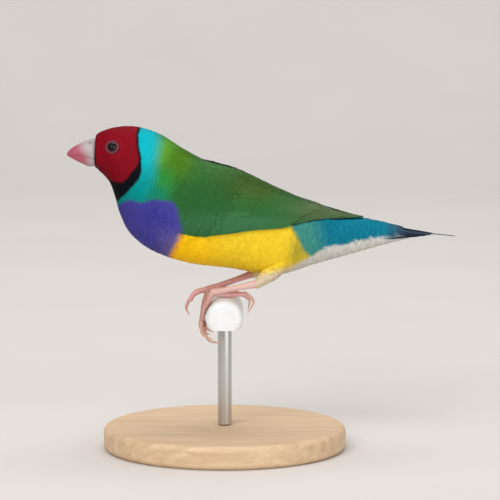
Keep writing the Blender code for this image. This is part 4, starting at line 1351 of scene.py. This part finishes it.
def noisy_material(name, scale, roughness, bump, shades=None, tones=None, detail=3.0, values=None):
    """Material whose colour, roughness and surface vary with one noise.

    shades are how dark and how light the noise makes the piece's own markings, and tones are two
    colours for a piece without markings. values are further settings of the shader.
    """
    material, tree, shader = new_material(name)
    noise = noise_value(tree, scale, detail)
    colour = painted(tree, noise, *shades) if shades else two_tones(tree, noise, *tones)
    tree.links.new(colour, shader.inputs["Base Color"])
    vary_roughness(tree, shader, noise, *roughness)
    add_bump(tree, shader, noise, *bump)
    for key, value in (values or {}).items():
        shader.inputs[key].default_value = value
    return material


def math_node(tree, operation, source, *values):
    """Result of a sum whose first input is linked; the others are numbers or linked too."""
    node = add_node(tree, "ShaderNodeMath", operation=operation)
    tree.links.new(source, node.inputs[0])
    for order, value in enumerate(values, 1):
        if isinstance(value, float):
            node.inputs[order].default_value = value
        else:
            tree.links.new(value, node.inputs[order])
    return node.outputs[0]


def feather_material(name, barbs, roughness):
    """Feathers with fine barbs that slant off from the shaft, given as their number on a vane."""
    material, tree, shader = new_material(name)
    noise = noise_value(tree, 900)
    tree.links.new(painted(tree, noise, 0.88, 1.12), shader.inputs["Base Color"])
    vary_roughness(tree, shader, noise, roughness - 0.08, roughness + 0.1)
    shader.inputs["Specular IOR Level"].default_value = 0.06
    shader.inputs["Sheen Weight"].default_value = 0.01
    shader.inputs["Sheen Roughness"].default_value = 0.45
    place = add_node(tree, "ShaderNodeUVMap", uv_map="Vane")
    split = add_node(tree, "ShaderNodeSeparateXYZ")
    tree.links.new(place.outputs["UV"], split.inputs["Vector"])
    side = math_node(tree, "ABSOLUTE", split.outputs["X"])
    slant = math_node(tree, "MULTIPLY_ADD", side, -0.35, split.outputs["Y"])
    stretch = math_node(tree, "MULTIPLY", slant, barbs * 2 * math.pi)
    add_bump(tree, shader, math_node(tree, "SINE", stretch), 0.22, 0.00003)
    return material


def skin_material():
    return noisy_material("bird skin", 1400, (0.7, 0.9), (0.4, 0.0001), shades=(0.8, 1.05))


def eye_material():
    return noisy_material(
        "glossy dark eye", 2500, (0.08, 0.14), (0.02, 0.00002), shades=(0.8, 1.2),
        values={"Specular IOR Level": 0.22},
    )


def ring_material():
    return noisy_material(
        "bare eye ring", 3500, (0.45, 0.65), (0.5, 0.00006), tones=(srgb(92, 34, 44), srgb(120, 62, 72)),
        values={"Specular IOR Level": 0.15},
    )


def horn_material(name, shades=None, tones=None):
    return noisy_material(
        name, 1100, (0.28, 0.42), (0.15, 0.00005), shades, tones,
        values={"Subsurface Weight": 0.15, "Subsurface Radius": (0.0012, 0.0006, 0.0004)},
    )


def leg_material():
    return noisy_material(
        "pink leg scutes", 1500, (0.38, 0.58), (0.35, 0.00006), shades=(0.86, 1.1),
        values={"Subsurface Weight": 0.12, "Subsurface Radius": (0.0015, 0.0007, 0.0005)},
    )


def plastic_material():
    tones = (srgb(216, 217, 218), srgb(232, 233, 234))
    return noisy_material("white moulded plastic", 240, (0.3, 0.5), (0.15, 0.0001), tones=tones, detail=6)


def steel_material():
    material, tree, shader = new_material("brushed steel")
    noise = noise_value(tree, 1.0, 2.0, stretch=(900, 900, 6000))
    shader.inputs["Base Color"].default_value = (*srgb(196, 196, 194), 1)
    shader.inputs["Metallic"].default_value = 1.0
    vary_roughness(tree, shader, noise, 0.25, 0.42)
    add_bump(tree, shader, noise, 0.12, 0.00005)
    return material


def wood_material():
    """Pale turned beech, with long grain lines and short flecks."""
    material, tree, shader = new_material("beech wood")
    grain = noise_value(tree, 1.0, 6.0, 0.6, (30, 420, 420))
    fleck = noise_value(tree, 1.0, 2.0, stretch=(260, 2600, 2600))
    tones = two_tones(tree, map_range(tree, grain, -0.4, 1.4), srgb(196, 160, 122), srgb(224, 196, 160))
    tree.links.new(varied(tree, tones, fleck, 0.82, 1.12), shader.inputs["Base Color"])
    vary_roughness(tree, shader, grain, 0.42, 0.6)
    add_bump(tree, shader, fleck, 0.2, 0.0001)
    return material


def floor_material():
    material, tree, shader = new_material("pale studio floor")
    tones = two_tones(tree, noise_value(tree, 12), srgb(206, 201, 197), srgb(214, 209, 205))
    tree.links.new(tones, shader.inputs["Base Color"])
    shader.inputs["Roughness"].default_value = 0.85
    return material


def make_floor():
    """Pale floor that sweeps up into a backdrop far behind the bird."""
    turn = np.radians(np.linspace(6, 90, 15))
    curve = [(FLOOR_BACK + FLOOR_BEND * math.sin(t), FLOOR_BEND - FLOOR_BEND * math.cos(t)) for t in turn]
    profile = [(FLOOR_FRONT, 0), (FLOOR_BACK, 0)] + curve + [(FLOOR_BACK + FLOOR_BEND, BACKDROP_HEIGHT)]
    points = [(x, y, z) for y, z in profile for x in (-FLOOR_HALF_WIDTH, FLOOR_HALF_WIDTH)]
    mesh = new_mesh("floor", np.array(points) / MM, grid_triangles(len(profile), 2))
    mesh.materials.append(floor_material())
    new_object("floor", mesh)


def make_camera():
    data = bpy.data.cameras.new("camera")
    data.sensor_width = SENSOR_WIDTH
    data.lens = SENSOR_WIDTH * CAMERA_DISTANCE / FRAME_WIDTH
    data.clip_start = 0.01
    item = new_object("camera", data)
    back = Vector((0, -math.cos(CAMERA_ELEVATION), math.sin(CAMERA_ELEVATION)))
    item.location = Vector(CAMERA_TARGET) + back * CAMERA_DISTANCE
    item.rotation_euler = (math.pi / 2 - CAMERA_ELEVATION, 0, 0)
    bpy.context.scene.camera = item


def add_light(name, place, size, watts, colour=(1, 1, 1), target=(0, 0, 0.08)):
    data = bpy.data.lights.new(name, "AREA")
    data.size = size
    data.energy = watts
    data.color = colour
    item = new_object(name, data)
    item.location = place
    aim = Vector(target) - Vector(place)
    item.rotation_euler = aim.to_track_quat("-Z", "Y").to_euler()


def make_lights():
    add_light("key", (-0.5, -1.0, 0.9), 0.8, 12, (1.0, 0.98, 0.95))
    add_light("fill", (0.7, -1.0, 0.25), 0.9, 7, (0.97, 0.99, 1.0))
    add_light("top", (0.1, 0.3, 1.3), 0.9, 5)
    add_light("backdrop", (0, 0.5, 1.5), 1.2, 8, target=(0, 1.6, 0.3))
    world = bpy.data.worlds.new("studio")
    bpy.context.scene.world = world
    world.use_nodes = True
    sky = world.node_tree.nodes["Background"]
    sky.inputs["Color"].default_value = (0.9, 0.92, 0.95, 1)
    sky.inputs["Strength"].default_value = 0.45
    bpy.context.scene.view_settings.view_transform = "Standard"


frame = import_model()


def main():
    make_camera()
    make_lights()
    make_floor()
    small = feather_material("small feathers", 9, 0.55)
    vane = feather_material("vane feathers", 42, 0.48)
    make_skin(skin_material())
    make_body_coat(small)
    for name in LEGS:
        make_thigh_coat(name, small)
    make_wing("left", 1, vane)
    make_wing("right", -1, vane)
    make_tail(vane)
    make_eyes(eye_material(), ring_material())
    make_bill(horn_material("bill horn", shades=(0.93, 1.05)))
    legs = leg_material()
    claws = horn_material("claw horn", tones=(srgb(176, 120, 104), srgb(222, 184, 166)))
    for name in LEGS:
        make_foot(name, legs, claws)
    make_stand(plastic_material(), steel_material(), wood_material())


main()
